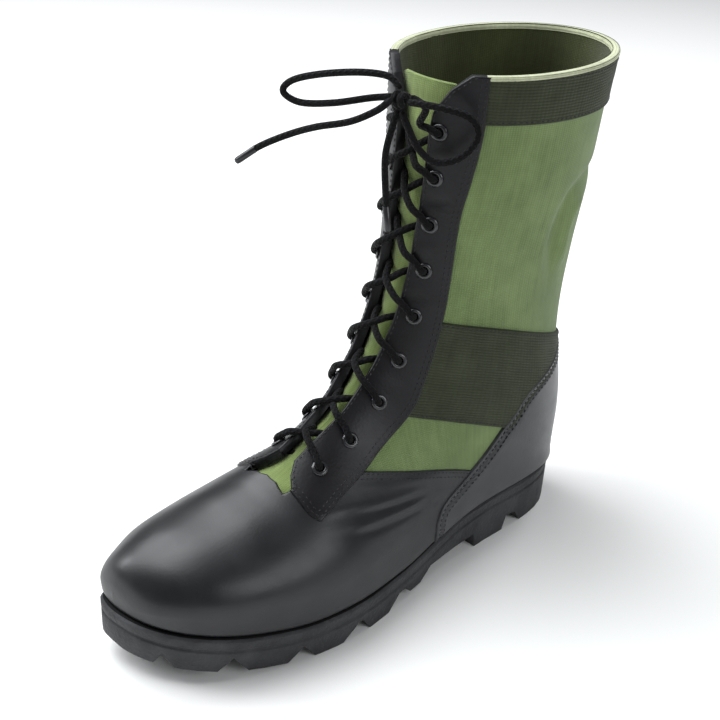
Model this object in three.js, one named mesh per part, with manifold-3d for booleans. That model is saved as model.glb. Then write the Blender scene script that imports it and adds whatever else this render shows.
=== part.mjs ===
// Jungle boot, left foot. Millimetres, +Z up, toe towards -Y, outer side of the foot towards +X.
import * as THREE from 'three';
import { mergeVertices } from 'three/addons/utils/BufferGeometryUtils.js';
import Module from 'manifold-3d';

const wasm = await Module();
wasm.setup();

// Named sizes
const SOLE_LENGTH = 300;
const BALL_WIDTH = 99;
const BOOT_HEIGHT = 278;
const HEEL_HEIGHT = 28;
const FOREFOOT_HEIGHT = 19;
const TOE_SPRING = 14;
const SPRING_START = -60;
const SPRING_POWER = 1.7;
const LUG_DEPTH = 8;
const SOLE_RIM = 3.5;
const WALL = 2.2;
const GAP = 0.3;
const LAY = 0.35;
const EYESTAY_THICK = 1.8;
const COUNTER_THICK = 1.7;
const BAND_THICK = 1.2;
const CUFF_THICK = 1.2;
const TONGUE_THICK = 2.4;
const TONGUE_CLEAR = 1;
const INSOLE_THICK = 3;
const LACE_DIAMETER = 3.4;
const EYELET_OUTER = 4.3;
const EYELET_BORE = 1.9;
const EYELET_BARREL = 2.3;
const EYELET_HOLE = 2.75;
const SHIFT_X = 0;
const SHIFT_Y = -3.5;
const HEEL_ROW = 14;
const TOP_ROW = 21;
const GRID_ALONG = 32;
const GRID_AFTER_HEEL = 10;
const GRID_AROUND = 20;

// Sole outline from the toe to the heel: shares of the sole length and of the ball width.
// Upper sections from the toe to the collar: heights are shares of the boot height, lengths of the
// sole length, widths of the ball width. Rows before the heel row end on the sole outline, so their back columns stay 0.
const OUTLINE = [
  { along: -0.5, medial: -0.1414, lateral: -0.1414 },
  { along: -0.4917, medial: -0.2576, lateral: 0.0051 },
  { along: -0.47, medial: -0.3182, lateral: 0.1313 },
  { along: -0.4333, medial: -0.3788, lateral: 0.2475 },
  { along: -0.38, medial: -0.4343, lateral: 0.3485 },
  { along: -0.31, medial: -0.4697, lateral: 0.4293 },
  { along: -0.2267, medial: -0.4899, lateral: 0.4899 },
  { along: -0.1267, medial: -0.4495, lateral: 0.5101 },
  { along: -0.0133, medial: -0.3788, lateral: 0.4646 },
  { along: 0.1133, medial: -0.3283, lateral: 0.404 },
  { along: 0.24, medial: -0.3283, lateral: 0.3737 },
  { along: 0.3533, medial: -0.3485, lateral: 0.3687 },
  { along: 0.4333, medial: -0.3081, lateral: 0.3131 },
  { along: 0.4817, medial: -0.1869, lateral: 0.1869 },
  { along: 0.5, medial: 0, lateral: 0 },
];
const SECTIONS = [
  { topY: -0.4883, topZ: 0.1471, backY: 0, backZ: 0,
    widest: 0.5, topRound: 1.83, lowRound: 2, centre: -0.1414, lateral: 0, medial: 0 },
  { topY: -0.485, topZ: 0.169, backY: 0, backZ: 0,
    widest: 0.52, topRound: 1.74, lowRound: 2.2, centre: -0.1364, lateral: 0.1364, medial: 0.1263 },
  { topY: -0.4733, topZ: 0.194, backY: 0, backZ: 0,
    widest: 0.56, topRound: 1.78, lowRound: 2.4, centre: -0.1212, lateral: 0.2475, medial: 0.197 },
  { topY: -0.4467, topZ: 0.2175, backY: 0, backZ: 0,
    widest: 0.6, topRound: 1.87, lowRound: 2.6, centre: -0.096, lateral: 0.3333, medial: 0.2626 },
  { topY: -0.4033, topZ: 0.2347, backY: 0, backZ: 0,
    widest: 0.62, topRound: 1.91, lowRound: 2.8, centre: -0.0707, lateral: 0.4091, medial: 0.3485 },
  { topY: -0.34, topZ: 0.2488, backY: 0, backZ: 0,
    widest: 0.64, topRound: 1.91, lowRound: 3, centre: -0.0505, lateral: 0.4697, medial: 0.4091 },
  { topY: -0.27, topZ: 0.2691, backY: 0, backZ: 0,
    widest: 0.66, topRound: 1.83, lowRound: 3, centre: -0.0303, lateral: 0.5101, medial: 0.4444 },
  { topY: -0.2, topZ: 0.2988, backY: 0, backZ: 0,
    widest: 0.68, topRound: 1.74, lowRound: 3, centre: -0.0101, lateral: 0.5101, medial: 0.4343 },
  { topY: -0.1433, topZ: 0.3317, backY: 0, backZ: 0,
    widest: 0.7, topRound: 1.66, lowRound: 3, centre: 0, lateral: 0.4646, medial: 0.3737 },
  { topY: -0.1, topZ: 0.3614, backY: 0, backZ: 0,
    widest: 0.7, topRound: 1.66, lowRound: 3, centre: 0, lateral: 0.4141, medial: 0.3485 },
  { topY: -0.0667, topZ: 0.3891, backY: 0, backZ: 0,
    widest: 0.7, topRound: 1.74, lowRound: 2.8, centre: 0, lateral: 0.3889, medial: 0.3485 },
  { topY: -0.04, topZ: 0.4204, backY: 0, backZ: 0,
    widest: 0.68, topRound: 1.82, lowRound: 2.6, centre: 0, lateral: 0.3788, medial: 0.3586 },
  { topY: -0.02, topZ: 0.4476, backY: 0, backZ: 0,
    widest: 0.66, topRound: 1.9, lowRound: 2.4, centre: 0, lateral: 0.3737, medial: 0.3636 },
  { topY: -0.0033, topZ: 0.4727, backY: 0, backZ: 0,
    widest: 0.62, topRound: 1.9, lowRound: 2.3, centre: 0, lateral: 0.3687, medial: 0.3636 },
  { topY: 0.0133, topZ: 0.5041, backY: 0.4883, backZ: 0.1054,
    widest: 0.58, topRound: 1.9, lowRound: 2.5, centre: 0, lateral: 0.3737, medial: 0.3687 },
  { topY: 0.0317, topZ: 0.5438, backY: 0.5067, backZ: 0.1655,
    widest: 0.56, topRound: 1.95, lowRound: 2.3, centre: 0, lateral: 0.3687, medial: 0.3636 },
  { topY: 0.0483, topZ: 0.594, backY: 0.5067, backZ: 0.2446,
    widest: 0.55, topRound: 2, lowRound: 2.15, centre: 0, lateral: 0.3636, medial: 0.3586 },
  { topY: 0.0617, topZ: 0.653, backY: 0.495, backZ: 0.3453,
    widest: 0.54, topRound: 2.05, lowRound: 2, centre: 0, lateral: 0.3586, medial: 0.3586 },
  { topY: 0.0717, topZ: 0.7174, backY: 0.485, backZ: 0.461,
    widest: 0.53, topRound: 2.1, lowRound: 2, centre: 0, lateral: 0.3737, medial: 0.3737 },
  { topY: 0.08, topZ: 0.7811, backY: 0.4867, backZ: 0.5893,
    widest: 0.52, topRound: 2.1, lowRound: 2, centre: 0, lateral: 0.4091, medial: 0.4091 },
  { topY: 0.085, topZ: 0.8553, backY: 0.4983, backZ: 0.736,
    widest: 0.51, topRound: 2.1, lowRound: 2, centre: 0, lateral: 0.4495, medial: 0.4495 },
  { topY: 0.0883, topZ: 0.9889, backY: 0.5183, backZ: 1,
    widest: 0.5, topRound: 2.1, lowRound: 2, centre: 0, lateral: 0.4899, medial: 0.4899 },
];


// Lugs along the sole, shares of the sole length; lift is the height of the lug face over the ground, in mm.
const LUGS = [
  { rise: -0.52, start: -0.496, end: -0.474, fall: -0.464, lift: 0 },
  { rise: -0.464, start: -0.452, end: -0.397, fall: -0.374, lift: 0 },
  { rise: -0.374, start: -0.35, end: -0.284, fall: -0.256, lift: 0 },
  { rise: -0.256, start: -0.232, end: -0.175, fall: -0.142, lift: 0 },
  { rise: -0.13, start: -0.112, end: -0.06, fall: -0.03, lift: 0 },
  { rise: -0.014, start: 0.004, end: 0.034, fall: 0.066, lift: 3 },
  { rise: 0.2, start: 0.206, end: 0.29, fall: 0.3, lift: 0 },
  { rise: 0.326, start: 0.345, end: 0.53, fall: 0.56, lift: 0 },
];

// Channel along the forefoot between the lugs: share of the sole length and height in mm.
const CHANNEL = [
  { along: -0.3933, z: -10 }, { along: 0.0533, z: -10 }, { along: 0.0533, z: 5 }, { along: -0.22, z: 5 },
  { along: -0.3933, z: 10 },
];

// Side steps of the sole wall: depth under the top edge and set-in, in mm.
const SOLE_STEPS = [
  { depth: 0, inset: 1.2 },
  { depth: 1.2, inset: 0 },
  { depth: 5.2, inset: 0 },
  { depth: 6, inset: 0.9 },
  { depth: 7.2, inset: 0.9 },
  { depth: 8, inset: 0.1 },
];

// Panel outlines as seen from the side: shares of the sole length and of the boot height.
const EYESTAY_SIDE = [
  { along: 0.1383, up: 1.0432 }, { along: 0.1383, up: 0.8885 }, { along: 0.13, up: 0.8094 },
  { along: 0.1233, up: 0.7302 }, { along: 0.1183, up: 0.6115 }, { along: 0.1067, up: 0.5288 },
  { along: 0.0883, up: 0.4604 }, { along: 0.0633, up: 0.3957 }, { along: 0.03, up: 0.3543 },
  { along: -0.0333, up: 0.3129 }, { along: -0.0733, up: 0.2896 }, { along: -0.1833, up: 0.2464 },
  { along: -0.2, up: 0.2536 }, { along: -0.205, up: 0.2734 }, { along: -0.205, up: 0.4317 },
  { along: -0.08, up: 0.5755 }, { along: -0.0133, up: 0.7194 }, { along: -0.0133, up: 1.0432 },
];
const COUNTER_SIDE = [
  { along: 0.5833, up: 0.4281 }, { along: 0.5, up: 0.3957 }, { along: 0.45, up: 0.3777 },
  { along: 0.3267, up: 0.3327 }, { along: 0.2633, up: 0.2752 }, { along: 0.2133, up: 0.2338 },
  { along: 0.1633, up: 0.2032 }, { along: 0.0933, up: 0.1691 }, { along: 0.0733, up: 0.1403 },
  { along: 0.0733, up: 0 }, { along: 0.5833, up: 0 },
];
const BAND_SIDE = [
  { along: 0.0667, up: 0.5432 }, { along: 0.11, up: 0.5306 }, { along: 0.23, up: 0.4928 },
  { along: 0.35, up: 0.446 }, { along: 0.46, up: 0.3993 }, { along: 0.46, up: 0.2158 },
  { along: 0.2533, up: 0.268 }, { along: 0.1167, up: 0.3273 }, { along: 0.0267, up: 0.3615 },
  { along: -0.02, up: 0.3813 }, { along: 0, up: 0.5432 },
];
const CUFF_LOW = 0.9029;

// Throat seen from the front: half width is a share of the ball width, height of the boot height.
const THROAT = [
  { half: 0.0051, up: 0.2935 }, { half: 0.0707, up: 0.2899 }, { half: 0.1414, up: 0.2799 },
  { half: 0.1515, up: 0.2842 }, { half: 0.096, up: 0.2978 }, { half: 0.0545, up: 0.3129 },
  { half: 0.0505, up: 0.3345 }, { half: 0.0626, up: 0.3813 }, { half: 0.0747, up: 0.4532 },
  { half: 0.0828, up: 0.5396 }, { half: 0.0889, up: 0.7194 }, { half: 0.0949, up: 0.8849 },
  { half: 0.1071, up: 0.9209 }, { half: 0.1818, up: 0.964 }, { half: 0.2626, up: 0.991 },
  { half: 0.3434, up: 1.0144 }, { half: 0.3434, up: 1.1151 }, { half: 0.0051, up: 1.1151 },
];

// Eyelets from the top down: row position along the upper and share of the way round one side.
const EYELETS = [
  { row: 20.29, round: 0.1 }, { row: 19.44, round: 0.108 }, { row: 18.18, round: 0.124 },
  { row: 16.92, round: 0.136 }, { row: 15.46, round: 0.138 }, { row: 13.5, round: 0.14 },
  { row: 10.96, round: 0.148 }, { row: 9.08, round: 0.153 }, { row: 7.81, round: 0.138 },
];

// Tongue: share of the way round one side at each row.
const TONGUE = [
  { row: 7.05, round: 0.15 }, { row: 7.8, round: 0.19 }, { row: 9, round: 0.23 }, { row: 10.5, round: 0.25 },
  { row: 12, round: 0.25 }, { row: 14, round: 0.25 }, { row: 16, round: 0.25 }, { row: 18, round: 0.235 },
  { row: 19.3, round: 0.215 }, { row: 20.3, round: 0.19 }, { row: 20.75, round: 0.165 },
  { row: 20.86, round: 0.12 },
];

// Drain vents on the inner side of the foot: row and share of the way round.
const VENTS = [{ row: 7.8, round: -0.63 }, { row: 8.4, round: -0.63 }];

// Bow: centre-line points in mm from the middle of the knot.
const LOOP_OUTER = [
  { x: 1.9, y: 0, z: -4.75 }, { x: 2, y: 0.05, z: -6.3 }, { x: 5, y: 0.8, z: -12 },
  { x: 11, y: 3, z: -21.5 }, { x: 18, y: 8, z: -27 }, { x: 27, y: 15, z: -23.5 },
  { x: 32, y: 20, z: -13.5 }, { x: 29, y: 17, z: -4.5 }, { x: 19, y: 6, z: -0.1 },
  { x: 7, y: 0.2, z: 0.3 }, { x: 5, y: 0, z: 0.3 },
];
const LOOP_INNER = [
  { x: -2, y: 0, z: 4.8 }, { x: -2.1, y: 0, z: 6.4 }, { x: -8, y: -2, z: 9.9 },
  { x: -20, y: -9, z: 9.9 }, { x: -37, y: -18, z: 6.5 }, { x: -50, y: -24, z: 1.5 },
  { x: -54, y: -26, z: -4.5 }, { x: -46, y: -22, z: -8.5 }, { x: -31, y: -14, z: -6.5 },
  { x: -16, y: -4.4, z: -2.1 }, { x: -6.8, y: -0.2, z: 0 }, { x: -5, y: 0, z: 0.1 },
];
const END_INNER = [
  { x: -1.4, y: -4.7, z: 0 }, { x: -1.5, y: -6.3, z: -0.1 }, { x: -5.5, y: -10.5, z: -4.9 },
  { x: -16, y: -17, z: -11.5 }, { x: -31, y: -25, z: -16.5 }, { x: -44, y: -31, z: -22.5 },
  { x: -57, y: -38, z: -30.5 }, { x: -67, y: -44, z: -39.5 },
];
const END_HANGING = [
  { x: -2.1, y: 0, z: -4.75 }, { x: -2.15, y: -0.05, z: -6.4 }, { x: -2.8, y: -1.4, z: -12.5 },
  { x: -4, y: -4, z: -27.5 }, { x: -2, y: -4, z: -47.5 }, { x: 0, y: -3, z: -64.5 },
];
const TIES = {
  outer: [{ x: 2.1, y: 4.75, z: 0 }, { x: 2.1, y: 6.4, z: 0 }, { x: 7.5, y: 11, z: -5.5 }],
  inner: [{ x: -2.1, y: 4.75, z: 0 }, { x: -2.2, y: 6.4, z: 0 }, { x: -14, y: 10.5, z: -5 }],
};
const KNOT = { across: 0.0707, along: 0.0267, up: 0.9478, half: 4.6, radius: 4.4 };

// Row interpolation
const clamp = (t, low, high) => Math.min(high, Math.max(low, t));

function alongRows(rows, t, before, after) {
  const last = rows.length - 1;
  const at = clamp(t, 0, last);
  const i = Math.min(Math.floor(at), last - 1);
  const f = at - i;
  const first = before || rows[0].map((a, n) => 2 * a - rows[1][n]);
  const end = after || rows[last].map((a, n) => 2 * a - rows[last - 1][n]);
  const p0 = i > 0 ? rows[i - 1] : first;
  const p1 = rows[i];
  const p2 = rows[i + 1];
  const p3 = i + 2 <= last ? rows[i + 2] : end;
  return p1.map((b, n) => {
    const a = p0[n];
    const c = p2[n];
    const d = p3[n];
    const bend = (2 * a - 5 * b + 4 * c - d) * f * f;
    const turn = (3 * b - a - 3 * c + d) * f ** 3;
    return 0.5 * (2 * b + (c - a) * f + bend + turn);
  });
}

const outerEdge = OUTLINE.map((r) => [r.lateral * BALL_WIDTH, r.along * SOLE_LENGTH]);
const innerEdge = OUTLINE.map((r) => [r.medial * BALL_WIDTH, r.along * SOLE_LENGTH]);

function outlineAt(row, side, out) {
  const own = side > 0 ? outerEdge : innerEdge;
  const other = side > 0 ? innerEdge : outerEdge;
  const at = (k) => alongRows(own, k, other[1], other[other.length - 2]);
  const [x, y] = at(row);
  const n = outlineNormal(at, row, side);
  return [x + n[0] * out, y + n[1] * out];
}

function outlineNormal(at, row, side) {
  if (row <= 0) return [0, -1];
  if (row >= HEEL_ROW) return [0, 1];
  const a = at(Math.max(row - 0.001, 0));
  const b = at(Math.min(row + 0.001, HEEL_ROW));
  const dx = b[0] - a[0];
  const dy = b[1] - a[1];
  const l = Math.hypot(dx, dy);
  return [(dy / l) * side, (-dx / l) * side];
}

function springAt(y) {
  return TOE_SPRING * clamp((SPRING_START - y) / (SPRING_START + SOLE_LENGTH / 2), 0, 1) ** SPRING_POWER;
}

function soleTop(y) {
  const t = clamp((y + 10) / 75, 0, 1);
  return FOREFOOT_HEIGHT + (HEEL_HEIGHT - FOREFOOT_HEIGHT) * t * t * (3 - 2 * t) + springAt(y);
}

// The upper's own surface: row along the boot, round from -1 (inner side) over 0 (top or front)
// to 1 (outer side).
const shape = SECTIONS.map((r) => [
  r.topY * SOLE_LENGTH, r.topZ * BOOT_HEIGHT, r.widest, r.topRound, r.lowRound,
]);
const width = SECTIONS.map((r) => [r.centre * BALL_WIDTH, r.lateral * BALL_WIDTH, r.medial * BALL_WIDTH]);
const widthBefore = [width[1][0], -width[1][1], -width[1][2]];
const back = SECTIONS.slice(HEEL_ROW).map((r) => [r.backY * SOLE_LENGTH, r.backZ * BOOT_HEIGHT]);

function skin(row, round) {
  const side = round < 0 ? -1 : 1;
  const u = Math.abs(round);
  const [topY, topZ, widest, topRound, lowRound] = alongRows(shape, row);
  const [centre, lateral, medial] = alongRows(width, row, widthBefore);
  let reach = Math.max(side > 0 ? lateral : medial, 0);
  let low = 0;
  let endY;
  let endZ;
  if (row <= HEEL_ROW) {
    const [fx, fy] = outlineAt(row, side, -SOLE_RIM);
    low = Math.max((fx - centre) * side, 0);
    endY = fy;
    endZ = soleTop(fy) + GAP;
  } else {
    [endY, endZ] = alongRows(back, row - HEEL_ROW, [141, HEEL_HEIGHT + GAP]);
  }
  reach = Math.max(reach, low);
  let x;
  let s;
  if (u <= 0.5) {
    const a = u * Math.PI;
    x = reach * Math.sin(a) ** (2 / topRound);
    s = widest * (1 - Math.max(Math.cos(a), 0) ** (2 / topRound));
  } else {
    const a = (u - 0.5) * Math.PI;
    x = low + (reach - low) * Math.max(Math.cos(a), 0) ** (2 / lowRound);
    s = widest + (1 - widest) * Math.sin(a) ** (2 / lowRound);
  }
  return new THREE.Vector3(centre + side * x, topY + (endY - topY) * s, topZ + (endZ - topZ) * s);
}

function skinNormal(row, round) {
  const e = 0.004;
  const r = Math.max(row, 0.05);
  const held = (t) => (r < HEEL_ROW ? Math.sign(t) : t - 2 * Math.sign(t));
  const across = (t) => skin(r, Math.abs(t) <= 1 ? t : held(t));
  const a = across(round - e);
  const b = across(round + e);
  const c = skin(Math.max(r - e, 0.02), round);
  const d = skin(Math.min(r + e, TOP_ROW), round);
  const n = b.sub(a).cross(d.sub(c)).normalize();
  if (row <= HEEL_ROW && Math.abs(round) > 0.5) {
    const side = Math.sign(round);
    const p = outlineAt(r, side, 0);
    const q = outlineAt(r, side, 1);
    const flat = new THREE.Vector3(q[0] - p[0], q[1] - p[1], 0);
    const t = clamp((Math.abs(round) - 0.5) / 0.4, 0, 1);
    n.lerp(flat, t * t * (3 - 2 * t)).normalize();
  }
  if (row < 0.05) n.set(0, -1, 0);
  return n;
}

function lifted(row, round, out) {
  return skin(row, round).addScaledVector(skinNormal(row, round), out);
}

// Mesh helpers
function fromTriangles(points) {
  const g = new THREE.BufferGeometry();
  const places = new Float32Array(points.flatMap((p) => [p.x, p.y, p.z]));
  g.setAttribute('position', new THREE.BufferAttribute(places, 3));
  return mergeVertices(g, 1e-4);
}

function quad(list, a, b, c, d) {
  list.push(a, b, c, a, c, d);
}

function toSolid(geometry) {
  const g = geometry.clone();
  g.deleteAttribute('normal');
  g.deleteAttribute('uv');
  const m = mergeVertices(g, 1e-4);
  const mesh = new wasm.Mesh({
    numProp: 3,
    vertProperties: new Float32Array(m.attributes.position.array),
    triVerts: new Uint32Array(m.index.array),
  });
  return new wasm.Manifold(mesh);
}

function fromSolid(solid) {
  const m = solid.getMesh();
  const g = new THREE.BufferGeometry();
  g.setAttribute('position', new THREE.BufferAttribute(new Float32Array(m.vertProperties), 3));
  g.setIndex(new THREE.BufferAttribute(new Uint32Array(m.triVerts), 1));
  return g;
}

// A closed body bounded by the skin moved out by a distance, with a floor and a lid.
function body(out, drop, rise) {
  const rows = [];
  for (let i = 0; i <= GRID_ALONG; i += 1) rows.push(gridRow(i));
  const rings = rows.map((row) => {
    const ring = [];
    for (let j = -GRID_AROUND / 2; j <= GRID_AROUND / 2; j += 1) {
      ring.push(lifted(row, (2 * j) / GRID_AROUND, out));
    }
    return ring;
  });
  const t = [];
  const n = GRID_AROUND;
  for (let i = 0; i < GRID_ALONG; i += 1) {
    const [near, far] = [rings[i], rings[i + 1]];
    for (let j = 0; j < n; j += 1) quad(t, near[j], near[j + 1], far[j + 1], far[j]);
  }
  const down = (p) => new THREE.Vector3(p.x, p.y, p.z - drop);
  for (let i = 0; i < GRID_ALONG && rows[i] < HEEL_ROW; i += 1) {
    const a = rings[i][0];
    const b = rings[i + 1][0];
    const c = rings[i][n];
    const d = rings[i + 1][n];
    if (drop > 0) {
      quad(t, a, b, down(b), down(a));
      quad(t, c, down(c), down(d), d);
      quad(t, down(a), down(b), down(d), down(c));
    } else {
      quad(t, a, b, d, c);
    }
  }
  let top = rings[GRID_ALONG];
  if (rise > 0) {
    const upper = top.map((p) => new THREE.Vector3(p.x, p.y, p.z + rise));
    for (let j = 0; j < n; j += 1) quad(t, top[j], top[j + 1], upper[j + 1], upper[j]);
    top = upper;
  }
  for (let j = 0; j < n / 2; j += 1) quad(t, top[j], top[j + 1], top[n - j - 1], top[n - j]);
  return toSolid(dropSlivers(t));
}

function gridRow(i) {
  const half = GRID_ALONG - GRID_AFTER_HEEL;
  if (i <= half) return (HEEL_ROW * i) / half;
  return HEEL_ROW + ((TOP_ROW - HEEL_ROW) * (i - half)) / GRID_AFTER_HEEL;
}

function dropSlivers(points) {
  const kept = [];
  for (let i = 0; i < points.length; i += 3) {
    const [a, b, c] = points.slice(i, i + 3);
    if (a.distanceTo(b) > 1e-3 && b.distanceTo(c) > 1e-3 && c.distanceTo(a) > 1e-3) kept.push(a, b, c);
  }
  return fromTriangles(kept);
}

// Straight cutters
function prismAlongX(points, from, to) {
  const s = new THREE.Shape(points.map((p) => new THREE.Vector2(p.y, p.z)));
  const g = new THREE.ExtrudeGeometry(s, { depth: to - from, bevelEnabled: false });
  g.applyMatrix4(new THREE.Matrix4().makeBasis(
    new THREE.Vector3(0, 1, 0), new THREE.Vector3(0, 0, 1), new THREE.Vector3(1, 0, 0)));
  g.translate(from, 0, 0);
  return toSolid(g);
}

function prismAlongY(points, from, to) {
  const s = new THREE.Shape(points.map((p) => new THREE.Vector2(p.x, p.z)));
  const g = new THREE.ExtrudeGeometry(s, { depth: to - from, bevelEnabled: false });
  g.applyMatrix4(new THREE.Matrix4().makeBasis(
    new THREE.Vector3(1, 0, 0), new THREE.Vector3(0, 0, 1), new THREE.Vector3(0, -1, 0)));
  g.translate(0, to, 0);
  return toSolid(g);
}

const moved = (points, dy, dz) => points.map((p) => (
  { y: p.along * SOLE_LENGTH + dy, z: p.up * BOOT_HEIGHT + dz }
));
const SIDE_REACH = BALL_WIDTH * 0.9;
const FRONT_LIMIT = SOLE_LENGTH * 0.25;
const throatHalf = THROAT.map((p) => ({ x: p.half * BALL_WIDTH, z: p.up * BOOT_HEIGHT }));
const throatCut = prismAlongY(
  [...throatHalf, ...[...throatHalf].reverse().map((p) => ({ x: -p.x, z: p.z }))],
  -SOLE_LENGTH * 0.37, FRONT_LIMIT);

function belowSole() {
  const t = [];
  const ring = soleRing(18, 6);
  const top = ring.map(([x, y]) => new THREE.Vector3(x, y, soleTop(y) + GAP));
  const low = ring.map(([x, y]) => new THREE.Vector3(x, y, -30));
  loftRings(t, [low, top]);
  return toSolid(fromTriangles(t));
}

function soleRing(out, perRow = 5) {
  const ring = [];
  const steps = Math.round((HEEL_ROW * perRow) / 2);
  for (let i = 0; i <= steps; i += 1) ring.push(outlineAt((HEEL_ROW * i) / steps, 1, out));
  for (let i = steps - 1; i > 0; i -= 1) ring.push(outlineAt((HEEL_ROW * i) / steps, -1, out));
  return ring;
}

// Closes a stack of rings whose first half runs from the toe to the heel on the outer side.
function loftRings(t, rings) {
  const n = rings[0].length;
  for (let i = 0; i + 1 < rings.length; i += 1) {
    for (let j = 0; j < n; j += 1) {
      const k = (j + 1) % n;
      quad(t, rings[i][j], rings[i][k], rings[i + 1][k], rings[i + 1][j]);
    }
  }
  const low = rings[0];
  const top = rings[rings.length - 1];
  for (let j = 0; j < n / 2; j += 1) {
    const a = j;
    const b = j + 1;
    const c = (n - j - 1) % n;
    const d = (n - j) % n;
    if (j === 0) {
      t.push(low[a], low[c], low[b], top[a], top[b], top[c]);
    } else if (b === c) {
      t.push(low[a], low[d], low[b], top[a], top[b], top[d]);
    } else {
      quad(t, low[a], low[d], low[c], low[b]);
      quad(t, top[a], top[b], top[c], top[d]);
    }
  }
}

// Sole
function makeOutsole() {
  const t = [];
  const floor = soleRing(-0.4).map(([x, y]) => new THREE.Vector3(x, y, -6));
  const rings = [floor];
  [...SOLE_STEPS].reverse().forEach(({ depth, inset }) => {
    rings.push(soleRing(-inset).map(([x, y]) => new THREE.Vector3(x, y, soleTop(y) - depth)));
  });
  loftRings(t, rings);
  const block = toSolid(fromTriangles(t));
  const profile = [];
  LUGS.forEach(({ rise, start, end, fall, lift }, i) => {
    const gapTop = i >= 5 && i < 7 ? LUG_DEPTH + 1.5 : LUG_DEPTH;
    const add = (share, up) => profile.push({ y: share * SOLE_LENGTH, z: springAt(share * SOLE_LENGTH) + up });
    if (i === 0 || rise > LUGS[i - 1].fall + 1e-6) add(rise, i === 6 ? LUG_DEPTH + 1.5 : LUG_DEPTH);
    add(start, lift);
    if (end - start > 0.04 && start < -0.2) add((start + end) / 2, lift);
    add(end, lift);
    add(fall, i === 7 ? LUG_DEPTH : gapTop);
  });
  const past = 0.58 * SOLE_LENGTH;
  profile.push({ y: past, z: 2 * HEEL_HEIGHT }, { y: -past, z: 2 * HEEL_HEIGHT });
  const lugged = block.intersect(prismAlongX(profile, -SIDE_REACH, SIDE_REACH));
  const channel = prismAlongX(CHANNEL.map((p) => ({ y: p.along * SOLE_LENGTH, z: p.z })),
    -0.071 * BALL_WIDTH, 0.03 * BALL_WIDTH);
  return fromSolid(lugged.subtract(channel));
}

function makeInsole() {
  const t = [];
  const inset = -(SOLE_RIM + WALL + 2 * LAY + 0.4);
  const layer = (up) => soleRing(inset).map(([x, y]) => new THREE.Vector3(x, y, soleTop(y) + up));
  loftRings(t, [layer(GAP), layer(GAP + INSOLE_THICK)]);
  return fromTriangles(t);
}

// Tongue: a curved sheet under the throat, clear of the upper's inner face.
function makeTongue() {
  const rows = TONGUE.map((r) => [r.row, r.round]);
  const steps = 22;
  const across = 10;
  const sheet = (out) => {
    const rings = [];
    for (let i = 0; i <= steps; i += 1) {
      const [row, round] = alongRows(rows, ((rows.length - 1) * i) / steps);
      const ring = [];
      for (let j = 0; j <= across; j += 1) ring.push(lifted(row, round * ((2 * j) / across - 1), out));
      rings.push(ring);
    }
    return rings;
  };
  const outer = sheet(-(WALL + TONGUE_CLEAR));
  const inner = sheet(-(WALL + TONGUE_CLEAR + TONGUE_THICK));
  const t = [];
  for (let i = 0; i < steps; i += 1) {
    for (let j = 0; j < across; j += 1) {
      quad(t, outer[i][j], outer[i][j + 1], outer[i + 1][j + 1], outer[i + 1][j]);
      quad(t, inner[i][j], inner[i + 1][j], inner[i + 1][j + 1], inner[i][j + 1]);
    }
    quad(t, outer[i][0], outer[i + 1][0], inner[i + 1][0], inner[i][0]);
    quad(t, outer[i][across], inner[i][across], inner[i + 1][across], outer[i + 1][across]);
  }
  for (let j = 0; j < across; j += 1) {
    quad(t, outer[0][j], inner[0][j], inner[0][j + 1], outer[0][j + 1]);
    quad(t, outer[steps][j], outer[steps][j + 1], inner[steps][j + 1], inner[steps][j]);
  }
  return fromTriangles(t);
}

// Turned parts set on the skin
function turned(profile, segments) {
  return new THREE.LatheGeometry(profile.map(([r, z]) => new THREE.Vector2(r, z)), segments);
}

function setOnSkin(geometry, row, round, out) {
  const n = skinNormal(row, round);
  const q = new THREE.Quaternion().setFromUnitVectors(new THREE.Vector3(0, 1, 0), n);
  const p = skin(row, round).addScaledVector(n, out);
  const g = geometry.clone().applyQuaternion(q);
  g.translate(p.x, p.y, p.z);
  g.deleteAttribute('normal');
  g.deleteAttribute('uv');
  return mergeVertices(g, 1e-4);
}

const EYESTAY_TOP = LAY + EYESTAY_THICK;
const holePin = turned([[0, -9], [EYELET_HOLE, -9], [EYELET_HOLE, 9], [0, 9]], 8);
const eyeletForm = turned([
  [EYELET_BORE, -EYESTAY_TOP - WALL + 0.4], [EYELET_BARREL, -EYESTAY_TOP - WALL + 0.4],
  [EYELET_BARREL, 0.4], [EYELET_OUTER, 0.4], [EYELET_OUTER - 0.6, 1.2], [EYELET_BORE, 1.2],
  [EYELET_BORE, -EYESTAY_TOP - WALL + 0.4],
], 8);
const ventForm = turned([[0, 0.9], [5, 0.9], [5, 1.4], [4.4, 1.9], [0, 1.9]], 14);

const knotAt = new THREE.Vector3(KNOT.across * BALL_WIDTH, KNOT.along * SOLE_LENGTH, KNOT.up * BOOT_HEIGHT);
const vectors = (rows) => rows.map((p) => new THREE.Vector3(p.x, p.y, p.z).add(knotAt));

// Round cord along a smooth line, with flat ends.
function cord(points, steps, sides) {
  const curve = new THREE.CatmullRomCurve3(points);
  const at = [curve.getPointAt(0), curve.getPointAt(0.2 / steps)];
  for (let i = 1; i < steps; i += 1) at.push(curve.getPointAt(i / steps));
  at.push(curve.getPointAt(1 - 0.2 / steps), curve.getPointAt(1));
  return tube(at, LACE_DIAMETER / 2, sides);
}

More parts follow.
